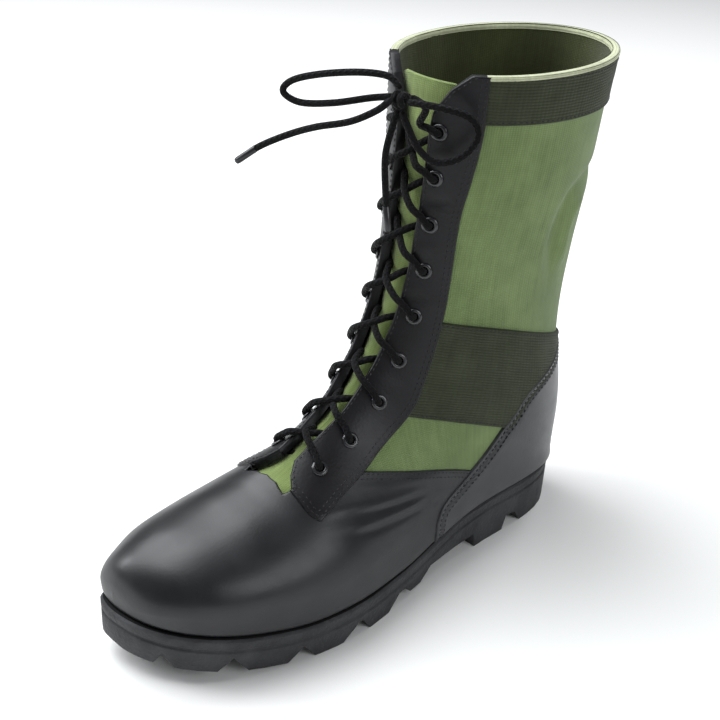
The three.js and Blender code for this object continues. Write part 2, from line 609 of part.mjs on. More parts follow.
function tube(at, radius, sides) {
  const rings = [];
  let across = null;
  for (let i = 0; i < at.length; i += 1) {
    const before = at[Math.max(i - 1, 0)];
    const after = at[Math.min(i + 1, at.length - 1)];
    const dir = after.clone().sub(before).normalize();
    if (!across) {
      across = new THREE.Vector3(0, 0, 1).cross(dir);
      if (across.length() < 0.1) across = new THREE.Vector3(1, 0, 0);
    }
    across = across.clone().addScaledVector(dir, -across.dot(dir)).normalize();
    const up = dir.clone().cross(across);
    const ring = [];
    for (let j = 0; j < sides; j += 1) {
      const a = (2 * Math.PI * j) / sides;
      const spot = at[i].clone().addScaledVector(across, radius * Math.cos(a));
      ring.push(spot.addScaledVector(up, radius * Math.sin(a)));
    }
    rings.push(ring);
  }
  const t = [];
  for (let i = 0; i + 1 < rings.length; i += 1) {
    for (let j = 0; j < sides; j += 1) {
      const k = (j + 1) % sides;
      quad(t, rings[i][j], rings[i][k], rings[i + 1][k], rings[i + 1][j]);
    }
  }
  const end = rings.length - 1;
  for (let j = 1; j + 1 < sides; j += 1) {
    t.push(rings[0][0], rings[0][j + 1], rings[0][j]);
    t.push(rings[end][0], rings[end][j], rings[end][j + 1]);
  }
  return fromTriangles(t);
}

// Two runs that zigzag over the throat from eyelet to eyelet and meet in the middle of each crossing.
function makeCrossings() {
  const clear = EYESTAY_TOP + 1.2 + 2 * GAP + LACE_DIAMETER / 2;
  const run = (side) => {
    const at = vectors(side > 0 ? TIES.outer : TIES.inner);
    for (let i = 0; i + 1 < EYELETS.length; i += 1) {
      const a = EYELETS[i];
      const b = EYELETS[i + 1];
      const sign = i % 2 === 0 ? side : -side;
      const steps = 4;
      for (let s = i === 0 ? 0 : 1; s <= steps; s += 1) {
        const f = s / steps;
        const row = a.row + (b.row - a.row) * f;
        const round = sign * (a.round * (1 - f) - b.round * f);
        at.push(lifted(row, round, clear));
      }
    }
    return toSolid(tube(at, LACE_DIAMETER / 2, 6));
  };
  return fromSolid(run(1).add(run(-1)));
}

function makeKnot() {
  const { half, radius } = KNOT;
  const form = turned([[0, -half], [radius * 0.7, -half], [radius, -half * 0.45], [radius, half * 0.45],
    [radius * 0.7, half], [0, half]], 10);
  form.rotateZ(Math.PI / 2);
  form.translate(knotAt.x, knotAt.y, knotAt.z);
  form.deleteAttribute('normal');
  form.deleteAttribute('uv');
  return mergeVertices(form, 1e-4);
}

// Assembly
const group = new THREE.Group();
group.name = 'jungle_boot';
const finish = {
  leather: new THREE.MeshStandardMaterial({ color: 0x1f2024, roughness: 0.35 }),
  canvas: new THREE.MeshStandardMaterial({ color: 0x6b7f4b, roughness: 0.9 }),
  webbing: new THREE.MeshStandardMaterial({ color: 0x3a3c32, roughness: 0.85 }),
  rubber: new THREE.MeshStandardMaterial({ color: 0x2c2c2e, roughness: 0.7 }),
  lace: new THREE.MeshStandardMaterial({ color: 0x18181a, roughness: 0.8 }),
  eyelet: new THREE.MeshStandardMaterial({ color: 0x1a1a1c, roughness: 0.4, metalness: 0.4 }),
  foam: new THREE.MeshStandardMaterial({ color: 0x33362a, roughness: 0.95 }),
};

function addPart(name, geometry, material) {
  const g = geometry;
  g.deleteAttribute('normal');
  g.computeVertexNormals();
  g.translate(SHIFT_X, SHIFT_Y, 0);
  const mesh = new THREE.Mesh(g, material.clone());
  mesh.name = name;
  group.add(mesh);
}

const below = belowSole();
let pins = null;
EYELETS.forEach(({ row, round }) => {
  [1, -1].forEach((side) => {
    const pin = toSolid(setOnSkin(holePin, row, side * round, 0));
    pins = pins ? pins.add(pin) : pin;
  });
});

const outer = body(0, 0, 0);
const inner = body(-WALL, 8, 12);
const upper = outer.subtract(inner).subtract(throatCut).subtract(pins).subtract(below);

const layer = (thick) => body(LAY + thick, 0, 0).subtract(body(LAY, 8, 12)).subtract(below);
const stayPrism = (sign, dy, dz) => (sign > 0
  ? prismAlongX(moved(EYESTAY_SIDE, dy, dz), 3, SIDE_REACH)
  : prismAlongX(moved(EYESTAY_SIDE, dy, dz), -SIDE_REACH, -3));
const stayBoth = prismAlongX(moved(EYESTAY_SIDE, 0.4, -0.4), -SIDE_REACH, SIDE_REACH);
const counterCut = prismAlongX(moved(COUNTER_SIDE, -0.35, 0.4), -SIDE_REACH, SIDE_REACH);
const stayLayer = layer(EYESTAY_THICK).subtract(throatCut).subtract(pins);

addPart('outsole', makeOutsole(), finish.rubber);
addPart('insole', makeInsole(), finish.foam);
addPart('upper', fromSolid(upper), finish.canvas);
addPart('tongue', makeTongue(), finish.canvas);
addPart('eyestay_lateral', fromSolid(stayLayer.intersect(stayPrism(1, 0, 0))), finish.leather);
addPart('eyestay_medial', fromSolid(stayLayer.intersect(stayPrism(-1, 0, 0))), finish.leather);
addPart('heel_counter', fromSolid(layer(COUNTER_THICK).intersect(
  prismAlongX(moved(COUNTER_SIDE, 0, 0), -SIDE_REACH, SIDE_REACH))), finish.leather);
const bandLayer = layer(BAND_THICK).subtract(stayBoth).subtract(counterCut);
const bandOutline = moved(BAND_SIDE, 0, 0);
const bandOn = (from, to) => fromSolid(bandLayer.intersect(prismAlongX(bandOutline, from, to)));
addPart('ankle_band_lateral', bandOn(0, SIDE_REACH), finish.webbing);
addPart('ankle_band_medial', bandOn(-SIDE_REACH, 0), finish.webbing);
const cuffSide = [{ along: 0, up: CUFF_LOW }, { along: 0.65, up: CUFF_LOW }, { along: 0.65, up: 1.15 },
  { along: 0, up: 1.15 }];
const cuffBox = prismAlongX(moved(cuffSide, 0, 0), -SIDE_REACH, SIDE_REACH);
addPart('collar_cuff', fromSolid(layer(CUFF_THICK).subtract(stayBoth).intersect(cuffBox)), finish.webbing);
EYELETS.forEach(({ row, round }, i) => {
  addPart(`eyelet_lateral_${i + 1}`, setOnSkin(eyeletForm, row, round, EYESTAY_TOP), finish.eyelet);
  addPart(`eyelet_medial_${i + 1}`, setOnSkin(eyeletForm, row, -round, EYESTAY_TOP), finish.eyelet);
});
VENTS.forEach(({ row, round }, i) => {
  addPart(`drain_vent_${i + 1}`, setOnSkin(ventForm, row, round, 0), finish.eyelet);
});
addPart('lace_crossings', makeCrossings(), finish.lace);
addPart('lace_knot', makeKnot(), finish.lace);
addPart('lace_loop_outer', cord(vectors(LOOP_OUTER), 9, 8), finish.lace);
addPart('lace_loop_inner', cord(vectors(LOOP_INNER), 12, 8), finish.lace);
addPart('lace_end_inner', cord(vectors(END_INNER), 8, 8), finish.lace);
addPart('lace_end_hanging', cord(vectors(END_HANGING), 6, 8), finish.lace);

export default group;
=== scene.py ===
"""Left jungle boot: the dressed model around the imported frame.

Lengths in the tables are millimetres on the boot, with the toe at -Y, the wearer's left at +X and the floor at z = 0.
"""

import logging
import math
from dataclasses import dataclass, field
from enum import Enum
from functools import cached_property
from typing import Iterable, Optional, Sequence

import bmesh
import bpy
import numpy as np
from mathutils import Matrix, Vector

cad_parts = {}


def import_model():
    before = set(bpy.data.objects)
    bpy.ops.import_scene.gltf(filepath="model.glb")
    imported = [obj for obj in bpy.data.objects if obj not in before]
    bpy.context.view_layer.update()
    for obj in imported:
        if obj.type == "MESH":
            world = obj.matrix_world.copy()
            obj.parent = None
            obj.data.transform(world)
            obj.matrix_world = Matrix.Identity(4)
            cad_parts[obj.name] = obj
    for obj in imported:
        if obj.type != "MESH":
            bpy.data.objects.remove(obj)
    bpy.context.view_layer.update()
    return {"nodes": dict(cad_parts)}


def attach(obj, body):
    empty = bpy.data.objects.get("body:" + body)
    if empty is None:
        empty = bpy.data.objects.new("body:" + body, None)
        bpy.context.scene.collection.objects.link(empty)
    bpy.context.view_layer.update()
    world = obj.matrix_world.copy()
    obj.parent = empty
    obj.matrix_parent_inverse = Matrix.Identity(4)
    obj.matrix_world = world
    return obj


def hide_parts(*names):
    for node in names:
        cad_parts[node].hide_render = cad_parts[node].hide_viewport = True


LOG = logging.getLogger("jungle_boot")
MM = 0.001
# Shift from the boot's own origin to the frame's
FRAME_SHIFT = np.array([0.0, -3.5, 0.0])
# The throat is drawn from the front, so its edge cuts nothing behind this place
THROAT_BACK = 75.0
# Millimetres round the boot that a share of 1 takes up in a patch
PATCH_GIRTH = 150.0
# Stands for a distance that reaches no edge
FAR = 99.0
# Least share of its length that a step along the surface may keep in an edge's view, squared
STEEPEST = 0.12
Array = np.ndarray
Piece = bpy.types.Object
Tree = bpy.types.NodeTree
Socket = bpy.types.NodeSocket
Pair = tuple[float, float]
Spot = tuple[float, float, float]
# Height from 0 to 1, its depth in metres and its strength
Grain = tuple[Socket, float, float]


def linear(hex_colour: str) -> tuple[float, float, float, float]:
    """Turns an sRGB hex colour into a linear one.

    Args:
        hex_colour: Colour such as "#6B7F4B".

    Returns:
        Red, green, blue and alpha for a shader socket.
    """
    parts = [int(hex_colour[i : i + 2], 16) / 255 for i in (1, 3, 5)]
    r, g, b = [c / 12.92 if c <= 0.04045 else ((c + 0.055) / 1.055) ** 2.4 for c in parts]
    return (r, g, b, 1.0)


def unit(v: Array) -> Array:
    """Scales each row of an array to length 1."""
    return v / np.maximum(np.linalg.norm(v, axis=-1, keepdims=True), 1e-12)


def smooth_step(t: Array) -> Array:
    """Eases a share from 0 to 1 with flat ends."""
    t = np.clip(t, 0.0, 1.0)
    return t * t * (3 - 2 * t)


def rows_at(rows: Array, t: Array, before: Optional[Array] = None, after: Optional[Array] = None) -> Array:
    """Reads a table between its rows on a smooth curve.

    Args:
        rows: Table, one row per station.
        t: Stations to read, in rows.
        before: Row that stands ahead of the first one.
        after: Row that stands behind the last one.

    Returns:
        One row of values per station.
    """
    last = len(rows) - 1
    at = np.clip(t, 0, last)
    i = np.minimum(np.floor(at).astype(int), last - 1)
    f = (at - i)[:, None]
    first = 2 * rows[0] - rows[1] if before is None else before
    end = 2 * rows[-1] - rows[-2] if after is None else after
    padded = np.vstack([first, rows, end])
    a, b, c, d = padded[i], padded[i + 1], padded[i + 2], padded[i + 3]
    return 0.5 * (2 * b + (c - a) * f + (2 * a - 5 * b + 4 * c - d) * f**2 + (3 * b - a - 3 * c + d) * f**3)


def smooth_line(points: Sequence[Sequence[float]], per_step: int = 8) -> Array:
    """Draws a smooth line through points.

    Args:
        points: Points in order, each of 2 or 3 numbers.
        per_step: Pieces between two points.

    Returns:
        The points of the finer line.
    """
    rows = np.array(points, float)
    t = np.linspace(0, len(rows) - 1, (len(rows) - 1) * per_step + 1)
    return rows_at(rows, t)


def run_of(points: Array) -> Array:
    """Distance along a line up to each of its points."""
    return np.concatenate([[0], np.cumsum(np.linalg.norm(np.diff(points, axis=0), axis=1))])


def read_along(at: Array, run: Array, points: Array) -> Array:
    """Reads a line's points at distances along it."""
    return np.stack([np.interp(at, run, column) for column in points.T], axis=1)


def even_line(points: Array, step: float) -> Array:
    """Spaces a line's points evenly, about one step apart, with the first and last ones kept."""
    run = run_of(points)
    return read_along(np.linspace(0, run[-1], max(2, int(round(run[-1] / step)) + 1)), run, points)


def grid_faces(rows: int, count: int, closed: bool = False) -> list[tuple[int, ...]]:
    """Makes the faces between rows of points.

    Args:
        rows: Number of rows.
        count: Points in each row.
        closed: Joins each row's last point to its first one.

    Returns:
        Faces of four points.
    """
    steps = count if closed else count - 1
    return [(k * count + j, k * count + (j + 1) % count, (k + 1) * count + (j + 1) % count, (k + 1) * count + j)
            for k in range(rows - 1) for j in range(steps)]


# The form of the last


@dataclass
class Last:
    """The boot's own surface, from which every panel is cut.

    A place on it is a row along the boot, from the toe at 0 to the collar at 21, and a share round it, from -1 at the
    inner bottom edge over 0 on top to 1 at the outer bottom edge.
    """

    heel_row: float = 14.0
    top_row: float = 21.0
    rim: float = 3.5
    gap: float = 0.3
    ease: float = 1.2
    ease_rows: float = 2.4
    outline_rows: Array = field(default_factory=lambda: np.array([
        # along, inner, outer
        [-150, -14, -14], [-147.5, -25.5, 0.5], [-141, -31.5, 13], [-130, -37.5, 24.5], [-114, -43, 34.5],
        [-93, -46.5, 42.5], [-68, -48.5, 48.5], [-38, -44.5, 50.5], [-4, -37.5, 46], [34, -32.5, 40],
        [72, -32.5, 37], [106, -34.5, 36.5], [130, -30.5, 31], [144.5, -18.5, 18.5], [150, 0, 0],
    ], float))
    section_rows: Array = field(default_factory=lambda: np.array([
        # top y, top z, widest, top round, low round, centre, outer half width, inner half width
        [-146.5, 40.88, 0.50, 1.83, 2.0, -14, 0, 0],
        [-145.5, 46.97, 0.52, 1.74, 2.2, -13.5, 13.5, 12.5],
        [-142, 53.93, 0.56, 1.78, 2.4, -12, 24.5, 19.5],
        [-134, 60.46, 0.60, 1.87, 2.6, -9.5, 33, 26],
        [-121, 65.24, 0.62, 1.91, 2.8, -7, 40.5, 34.5],
        [-102, 69.16, 0.64, 1.91, 3.0, -5, 46.5, 40.5],
        [-81, 74.81, 0.66, 1.83, 3.0, -3, 50.5, 44],
        [-60, 83.08, 0.68, 1.74, 3.0, -1, 50.5, 43],
        [-43, 92.21, 0.70, 1.66, 3.0, 0, 46, 37],
        [-30, 100.48, 0.70, 1.66, 3.0, 0, 41, 34.5],
        [-20, 108.16, 0.70, 1.74, 2.8, 0, 38.5, 34.5],
        [-12, 116.88, 0.68, 1.82, 2.6, 0, 37.5, 35.5],
        [-6, 124.44, 0.66, 1.9, 2.4, 0, 37, 36],
        [-1, 131.41, 0.62, 1.9, 2.3, 0, 36.5, 36],
        [4, 140.13, 0.58, 1.9, 2.5, 0, 37, 36.5],
        [9.5, 151.18, 0.56, 1.95, 2.3, 0, 36.5, 36],
        [14.5, 165.12, 0.55, 2.0, 2.15, 0, 36, 35.5],
        [18.5, 181.53, 0.54, 2.05, 2.0, 0, 35.5, 35.5],
        [21.5, 199.44, 0.53, 2.1, 2.0, 0, 37, 37],
        [24, 217.14, 0.52, 2.1, 2.0, 0, 40.5, 40.5],
        [25.5, 237.77, 0.51, 2.1, 2.0, 0, 44.5, 44.5],
        [26.5, 274.91, 0.50, 2.1, 2.0, 0, 48.5, 48.5],
    ], float))
    back_rows: Array = field(default_factory=lambda: np.array([
        # back y, back z, from the heel row up
        [146.5, 29.3], [152, 46], [152, 68], [148.5, 96], [145.5, 128.15], [146, 163.83], [149.5, 204.61], [155.5, 278],
    ], float))

    def sole_top(self, y: Array) -> Array:
        """Height of the sole's top edge at a place along the boot."""
        spring = 14 * np.clip((-60 - y) / 90, 0, 1) ** 1.7
        return 19 + 9 * smooth_step((y + 10) / 75) + spring

    def outline(self, row: Array, side: Array, out: float) -> Array:
        """Points of the sole's outline.

        Args:
            row: Rows along the boot.
            side: 1 for the outer side, -1 for the inner side.
            out: Distance outside the outline.

        Returns:
            x and y of each point.
        """
        made = np.zeros((len(row), 2))
        for s, own, other in ((1, 2, 1), (-1, 1, 2)):
            rows, mates = self.outline_rows[:, [own, 0]], self.outline_rows[:, [other, 0]]

            def at(t: Array) -> Array:
                """Gives this side's outline at the rows t."""
                return rows_at(rows, t, mates[1], mates[-2])

            step = at(np.minimum(row + 0.001, self.heel_row)) - at(np.maximum(row - 0.001, 0))
            n = unit(np.stack([step[:, 1] * s, -step[:, 0] * s], axis=1))
            n[row <= 0] = (0, -1)
            n[row >= self.heel_row] = (0, 1)
            made[side == s] = (at(row) + n * out)[side == s]
        return made

    def skin(self, row: Array, share: Array) -> Array:
        """Points of the surface, with its turn round the heel eased.

        Args:
            row: Rows along the boot.
            share: Shares of the way round, from -1 to 1.

        Returns:
            x, y and z of each point.
        """
        made = self.section(row, share)
        turn = smooth_step(1 - np.abs(row - self.heel_row) / self.ease_rows)
        reach = self.ease * turn * (1 - np.abs(share) ** 8)
        near = reach > 1e-3
        if near.any():
            r, s, d = row[near], share[near], reach[near]
            parts = ((-1, 1), (-0.5, 2), (0, 3), (0.5, 2), (1, 1))
            made[near] = sum(weight * self.section(r + k * d, s) for k, weight in parts) / 9
        return made

    def section(self, row: Array, share: Array) -> Array:
        """Points of the surface straight from the tables."""
        side = np.where(share < 0, -1, 1)
        u = np.abs(share)
        mate = self.section_rows[1].copy()
        mate[0:5] = (2 * self.section_rows[0] - self.section_rows[1])[0:5]
        mate[6:8] = -mate[6:8]
        v = rows_at(self.section_rows, row, mate)
        top_y, top_z, widest, top_round, low_round, centre = v[:, :6].T
        reach = np.maximum(np.where(side > 0, v[:, 6], v[:, 7]), 0)
        foot = self.outline(row, side, -self.rim)
        up = rows_at(self.back_rows, row - self.heel_row, np.array([141, 28.3]))
        on_foot = row <= self.heel_row
        low = np.where(on_foot, np.maximum((foot[:, 0] - centre) * side, 0), 0)
        end_y = np.where(on_foot, foot[:, 1], up[:, 0])
        end_z = np.where(on_foot, self.sole_top(foot[:, 1]) + self.gap, up[:, 1])
        reach = np.maximum(reach, low)
        a = np.clip(u, 0, 0.5) * np.pi
        b = (np.clip(u, 0.5, 1) - 0.5) * np.pi
        cos_a = np.maximum(np.cos(a), 0) ** (2 / top_round)
        x = np.where(u <= 0.5, reach * np.sin(a) ** (2 / top_round),
                     low + (reach - low) * np.maximum(np.cos(b), 0) ** (2 / low_round))
        s = np.where(u <= 0.5, widest * (1 - cos_a), widest + (1 - widest) * np.sin(b) ** (2 / low_round))
        return np.stack([centre + side * x, top_y + (end_y - top_y) * s, top_z + (end_z - top_z) * s], axis=1)

    def normal(self, row: Array, share: Array) -> Array:
        """Outward directions of the surface at given rows and shares."""
        e = 0.004
        r = np.maximum(row, 0.05)

        def across(t: Array) -> Array:
            """Gives the skin's points at shares that may pass the bottom edge.

            Args:
                t: Shares round the last. Past 1, they stay on the edge, or go on round the other side of the shaft.

            Returns:
                The points.
            """
            past = np.abs(t) > 1
            held = np.where(past, np.where(r < self.heel_row, np.sign(t), t - 2 * np.sign(t)), t)
            return self.skin(r, held)

        round_step = across(share - e) - across(share + e)
        long_step = (self.skin(np.minimum(r + e, self.top_row), share) - self.skin(np.maximum(r - e, 0.02), share))
        n = unit(np.cross(-round_step, long_step))
        side = np.where(share < 0, -1, 1)
        flat = self.outline(r, side, 1.0) - self.outline(r, side, 0.0)
        flat = np.concatenate([flat, np.zeros((len(r), 1))], axis=1)
        t = smooth_step((np.abs(share) - 0.5) / 0.4)[:, None]
        t = t * smooth_step((self.heel_row - row) / 3.0)[:, None]
        n = unit(n * (1 - t) + flat * t)
        n[row < 0.05] = (0, -1, 0)
        return n

    def spot(self, row: float, share: float) -> tuple[Array, Array]:
        """Place and outward direction of one point of the surface."""
        one = np.array([row]), np.array([share])
        return self.skin(*one)[0], self.normal(*one)[0]

    def stations(self, low: float, high: float, spacing: float) -> Array:
        """Rows from low to high whose steps are about one spacing apart on the longer of the top and back lines."""
        fine = np.linspace(low, high, 400)
        zero = np.zeros_like(fine)
        steps = [np.linalg.norm(np.diff(self.skin(fine, zero + s), axis=0), axis=1) for s in (0, 0.5, 0.999)]
        run = np.concatenate([[0], np.cumsum(np.max(steps, axis=0))])
        return np.interp(np.linspace(0, run[-1], max(3, int(run[-1] / spacing))), run, fine)


@dataclass
class Sheet:
    """A piece of the boot's surface as triangles of rows and shares."""

    last: Last
    at: Array
    faces: Array

    @classmethod
    def patch(cls, last: Last, rows: Pair, shares: Pair, spacing: float) -> "Sheet":
        """Lays an even patch of triangles.

        Args:
            last: The boot's surface.
            rows: First and last row.
            shares: First and last share of the way round.
            spacing: Rough size of a triangle's side.

        Returns:
            The patch.
        """
        r = last.stations(*rows, spacing)
        s = np.linspace(*shares, max(4, int(PATCH_GIRTH * (shares[1] - shares[0]) / spacing)))
        quads = np.array(grid_faces(len(r), len(s)))
        faces = np.concatenate([quads[:, [0, 1, 2]], quads[:, [0, 2, 3]]])
        return cls(last, np.c_[np.repeat(r, len(s)), np.tile(s, len(r))], faces)

    @cached_property
    def points(self) -> Array:
        """The sheet's points on the surface."""
        return self.last.skin(*self.at.T)

    @cached_property
    def normals(self) -> Array:
        """The surface's directions at the sheet's points."""
        return self.last.normal(*self.at.T)

    def split(self, values: Array, keep_all: bool = False) -> "Sheet":
        """Cuts the sheet along the line where the values are 0.

        Args:
            values: One value per point.
            keep_all: Keeps both sides, so that the line only becomes an edge.

        Returns:
            The part with values above 0, or the whole sheet with the new edge.
        """
        v = np.where(np.abs(values) < 1e-4, 0.0, values)
        tri = v[self.faces]
        crossing = (tri.max(1) > 0) & (tri.min(1) < 0)
        whole = self.faces[~crossing & ((tri.min(1) >= 0) if not keep_all else True)]
        points = [tuple(p) for p in self.at]
        made: dict[tuple[int, int], int] = {}
        faces = []

        def between(i: int, j: int) -> int:
            """Makes the point where the cut crosses an edge, once for each edge.

            Args:
                i: The edge's one end.
                j: The edge's other end.

            Returns:
                The point's index.
            """
            key = (min(i, j), max(i, j))
            if key not in made:
                t = v[key[0]] / (v[key[0]] - v[key[1]])
                a, b = self.at[key[0]], self.at[key[1]]
                points.append(tuple(a + (b - a) * t))
                made[key] = len(points) - 1
            return made[key]

        for face in self.faces[crossing]:
            ring = []
            for k in range(3):
                i, j = int(face[k]), int(face[(k + 1) % 3])
                ring.append((i, v[i]))
                if v[i] * v[j] < 0:
                    ring.append((between(i, j), 0.0))
            for sign in (1, -1) if keep_all else (1,):
                part = [i for i, w in ring if w * sign >= 0]
                if len(part) >= 3 and any(w * sign > 0 for _, w in ring):
                    faces.extend((part[0], part[k], part[k + 1]) for k in range(1, len(part) - 1))
        faces = np.vstack([whole, np.array(faces, int).reshape(-1, 3)])
        used, index = np.unique(faces, return_inverse=True)
        return Sheet(self.last, np.array(points)[used], index.reshape(-1, 3))

    def rim_edges(self) -> Array:
        """Edges that only one face uses, in the face's own order."""
        pairs = np.concatenate([self.faces[:, [0, 1]], self.faces[:, [1, 2]], self.faces[:, [2, 0]]])
        _, index, count = np.unique(np.sort(pairs, axis=1), axis=0, return_index=True, return_counts=True)
        return pairs[index[count == 1]]

    def level_lines(self, values: Array) -> list[Array]:
        """Lines on the sheet where the values are 0.

        Args:
            values: One value per point.

        Returns:
            Rows and shares along each line.
        """
        v = np.where(np.abs(values) < 1e-7, 1e-7, values)
        links: dict[tuple[int, int], list[tuple[int, int]]] = {}
        spot: dict[tuple[int, int], Array] = {}
        tri = v[self.faces]
        for face in self.faces[(tri.max(1) > 0) & (tri.min(1) < 0)]:
            ends = []
            for k in range(3):
                i, j = sorted((int(face[k]), int(face[(k + 1) % 3])))
                if v[i] * v[j] < 0:
                    spot[(i, j)] = self.at[i] + (self.at[j] - self.at[i]) * (v[i] / (v[i] - v[j]))
                    ends.append((i, j))
            if len(ends) == 2:
                links.setdefault(ends[0], []).append(ends[1])
                links.setdefault(ends[1], []).append(ends[0])
        lines, seen = [], set()
        for start in sorted(links, key=lambda k: (len(links[k]), k)):
            if start in seen:
                continue
            line, here = [start], start
            seen.add(start)
            while True:
                ahead = [k for k in links[here] if k not in seen]
                if not ahead:
                    break
                here = ahead[0]
                seen.add(here)
                line.append(here)
            if len(line) > 3:
                lines.append(np.array([spot[k] for k in line]))
        return lines


class Plane(Enum):
    """The view in which a panel's edge is drawn."""

    SIDE = (1, 2)
    FRONT = (0, 2)


@dataclass
class Edge:
    """A panel's edge, drawn in one view with the panel on its left."""

    plane: Plane
    points: Sequence[Pair]
    smooth: bool = True
    per_step: int = 6
    inset: float = 0.0

    def measure(self, p: Array, n: Array) -> Array:
        """Distances along the surface from the edge.

        Args:
            p: Points on the surface.
            n: The surface's directions there.

        Returns:
            One distance per point, above 0 inside the panel.
        """
        line = smooth_line(self.points, self.per_step) if self.smooth else np.array(self.points, float)
        axes = list(self.plane.value)
        q, m = p[:, axes], n[:, axes]
        if self.plane is Plane.FRONT:
            m[:, 0] *= np.where(q[:, 0] < 0, -1, 1)
            q[:, 0] = np.abs(q[:, 0])
        best, firm, signed, slope = np.full(len(q), 1e9), np.zeros(len(q)), np.zeros(len(q)), np.ones(len(q))
        for a, b in zip(line[:-1], line[1:]):
            d = b - a
            length = np.linalg.norm(d)
            if length < 1e-6:
                continue
            t = np.clip((q - a) @ d / length**2, 0, 1)
            far = np.linalg.norm(q - (a + t[:, None] * d), axis=1)
            left = np.array([-d[1], d[0]]) / length
            aside = (q - a) @ left
            closer = (far < best - 1e-6) | ((far < best + 1e-6) & (np.abs(aside) > firm))
            here = (far, np.abs(aside), np.where(aside >= 0, far, -far),
                    np.sqrt(np.maximum(1 - (m @ left) ** 2, STEEPEST)))
            for kept, new in zip((best, firm, signed, slope), here):
                kept[closer] = new[closer]
        found = signed / slope - self.inset
        return np.where(p[:, 1] > THROAT_BACK, FAR, found) if self.plane is Plane.FRONT else found


@dataclass(frozen=True)
class Crease:
    """A soft trough or ridge laid on the boot.

    Attributes:
        height: Height of the ridge, below 0 for a trough.
        width: Half width.
        points: Where it runs.
    """

    height: float
    width: float
    points: tuple[Spot, ...]


@dataclass
class Relief:
    """The creases of the worn shape, the same on every layer."""

    creases: tuple[Crease, ...]

    def height(self, p: Array) -> Array:
        """Sum of the creases at given points."""
        total = np.zeros(len(p))
        for crease in self.creases:
            line = even_line(smooth_line(crease.points, 8), 1.0)
            reach = 4 * crease.width
            near = np.all((p > line.min(0) - reach) & (p < line.max(0) + reach), axis=1)
            if not near.any():
                continue
            far = np.linalg.norm(p[near][:, None, :] - line[None], axis=2)
            share = far.argmin(1) / (len(line) - 1)
            fade = smooth_step(np.minimum(share, 1 - share) / 0.3) * 0.92 + 0.08
            total[near] += crease.height * fade * np.exp(-((far.min(1) / crease.width) ** 2))
        return total


# Meshes and materials


def placed(name: str, data: bpy.types.ID) -> Piece:
    """Makes an object and links it into the scene."""
    made = bpy.data.objects.new(name, data)
    bpy.context.scene.collection.objects.link(made)
    return made


def mesh_object(name: str, points: Array, faces: Iterable, cloth: Optional[Array] = None) -> Piece:
    """Makes a smooth mesh object.

    Args:
        name: The piece's name.
        points: Its points, in millimetres on the boot.
        faces: Its faces.
        cloth: The lay of its threads, one vector per point, for its material to read.

    Returns:
        The new object, in metres in the frame.
    """
    mesh = bpy.data.meshes.new(name)
    spots = (np.asarray(points) + FRAME_SHIFT) * MM
    mesh.from_pydata([tuple(p) for p in spots], [], [tuple(int(i) for i in face) for face in faces])
    mesh.update()
    mesh.polygons.foreach_set("use_smooth", [True] * len(mesh.polygons))
    if cloth is not None:
        layer = mesh.attributes.new("cloth", "FLOAT_VECTOR", "POINT")
        layer.data.foreach_set("vector", np.asarray(cloth, np.float32).ravel())
    return placed(name, mesh)


def node(tree: Tree, kind: str, values: Optional[dict] = None, **settings: object) -> bpy.types.Node:
    """Adds a node with its settings and links.

    Args:
        tree: The material's node tree.
        kind: The node's type, less the words that every shader node starts with.
        values: Input names or numbers with a value or another node's output.
        settings: The node's own properties.

    Returns:
        The new node.
    """
    made = tree.nodes.new("ShaderNode" + kind)
    for name, value in settings.items():
        setattr(made, name, value)
    for name, value in (values or {}).items():
        if isinstance(value, Socket):
            tree.links.new(value, made.inputs[name])
        else:
            made.inputs[name].default_value = value
    return made


def calc(tree: Tree, operation: str, first: object, second: object = 0.0) -> Socket:
    """Calculates with one or two values."""
    return node(tree, "Math", {0: first, 1: second}, operation=operation).outputs[0]


def scaled(tree: Tree, vector: Socket, by: Spot) -> Socket:
    """Multiplies each part of a vector."""
    return node(tree, "VectorMath", {0: vector, 1: by}, operation="MULTIPLY").outputs[0]


def noise(tree: Tree, place: Socket, scale: float, detail: float, roughness: float = 0.5,
          output: str = "Fac") -> Socket:
    """Makes soft noise."""
    values = {"Vector": place, "Scale": scale, "Detail": detail, "Roughness": roughness}
    return node(tree, "TexNoise", values).outputs[output]


def ramp(tree: Tree, value: Socket, low: float, high: float, to_low: float = 0.0, to_high: float = 1.0) -> Socket:
    """Moves a value from one range to another."""
    return node(tree, "MapRange", {0: value, 1: low, 2: high, 3: to_low, 4: to_high}).outputs[0]


def blend(tree: Tree, share: Socket, first: str, second: str) -> Socket:
    """Mixes two hex colours."""
    return node(tree, "Mix", {0: share, 6: linear(first), 7: linear(second)}, data_type="RGBA").outputs[2]


def lay(tree: Tree) -> Socket:
    """Reads the lay of the threads that a piece keeps."""
    return node(tree, "Attribute", attribute_name="cloth").outputs["Vector"]


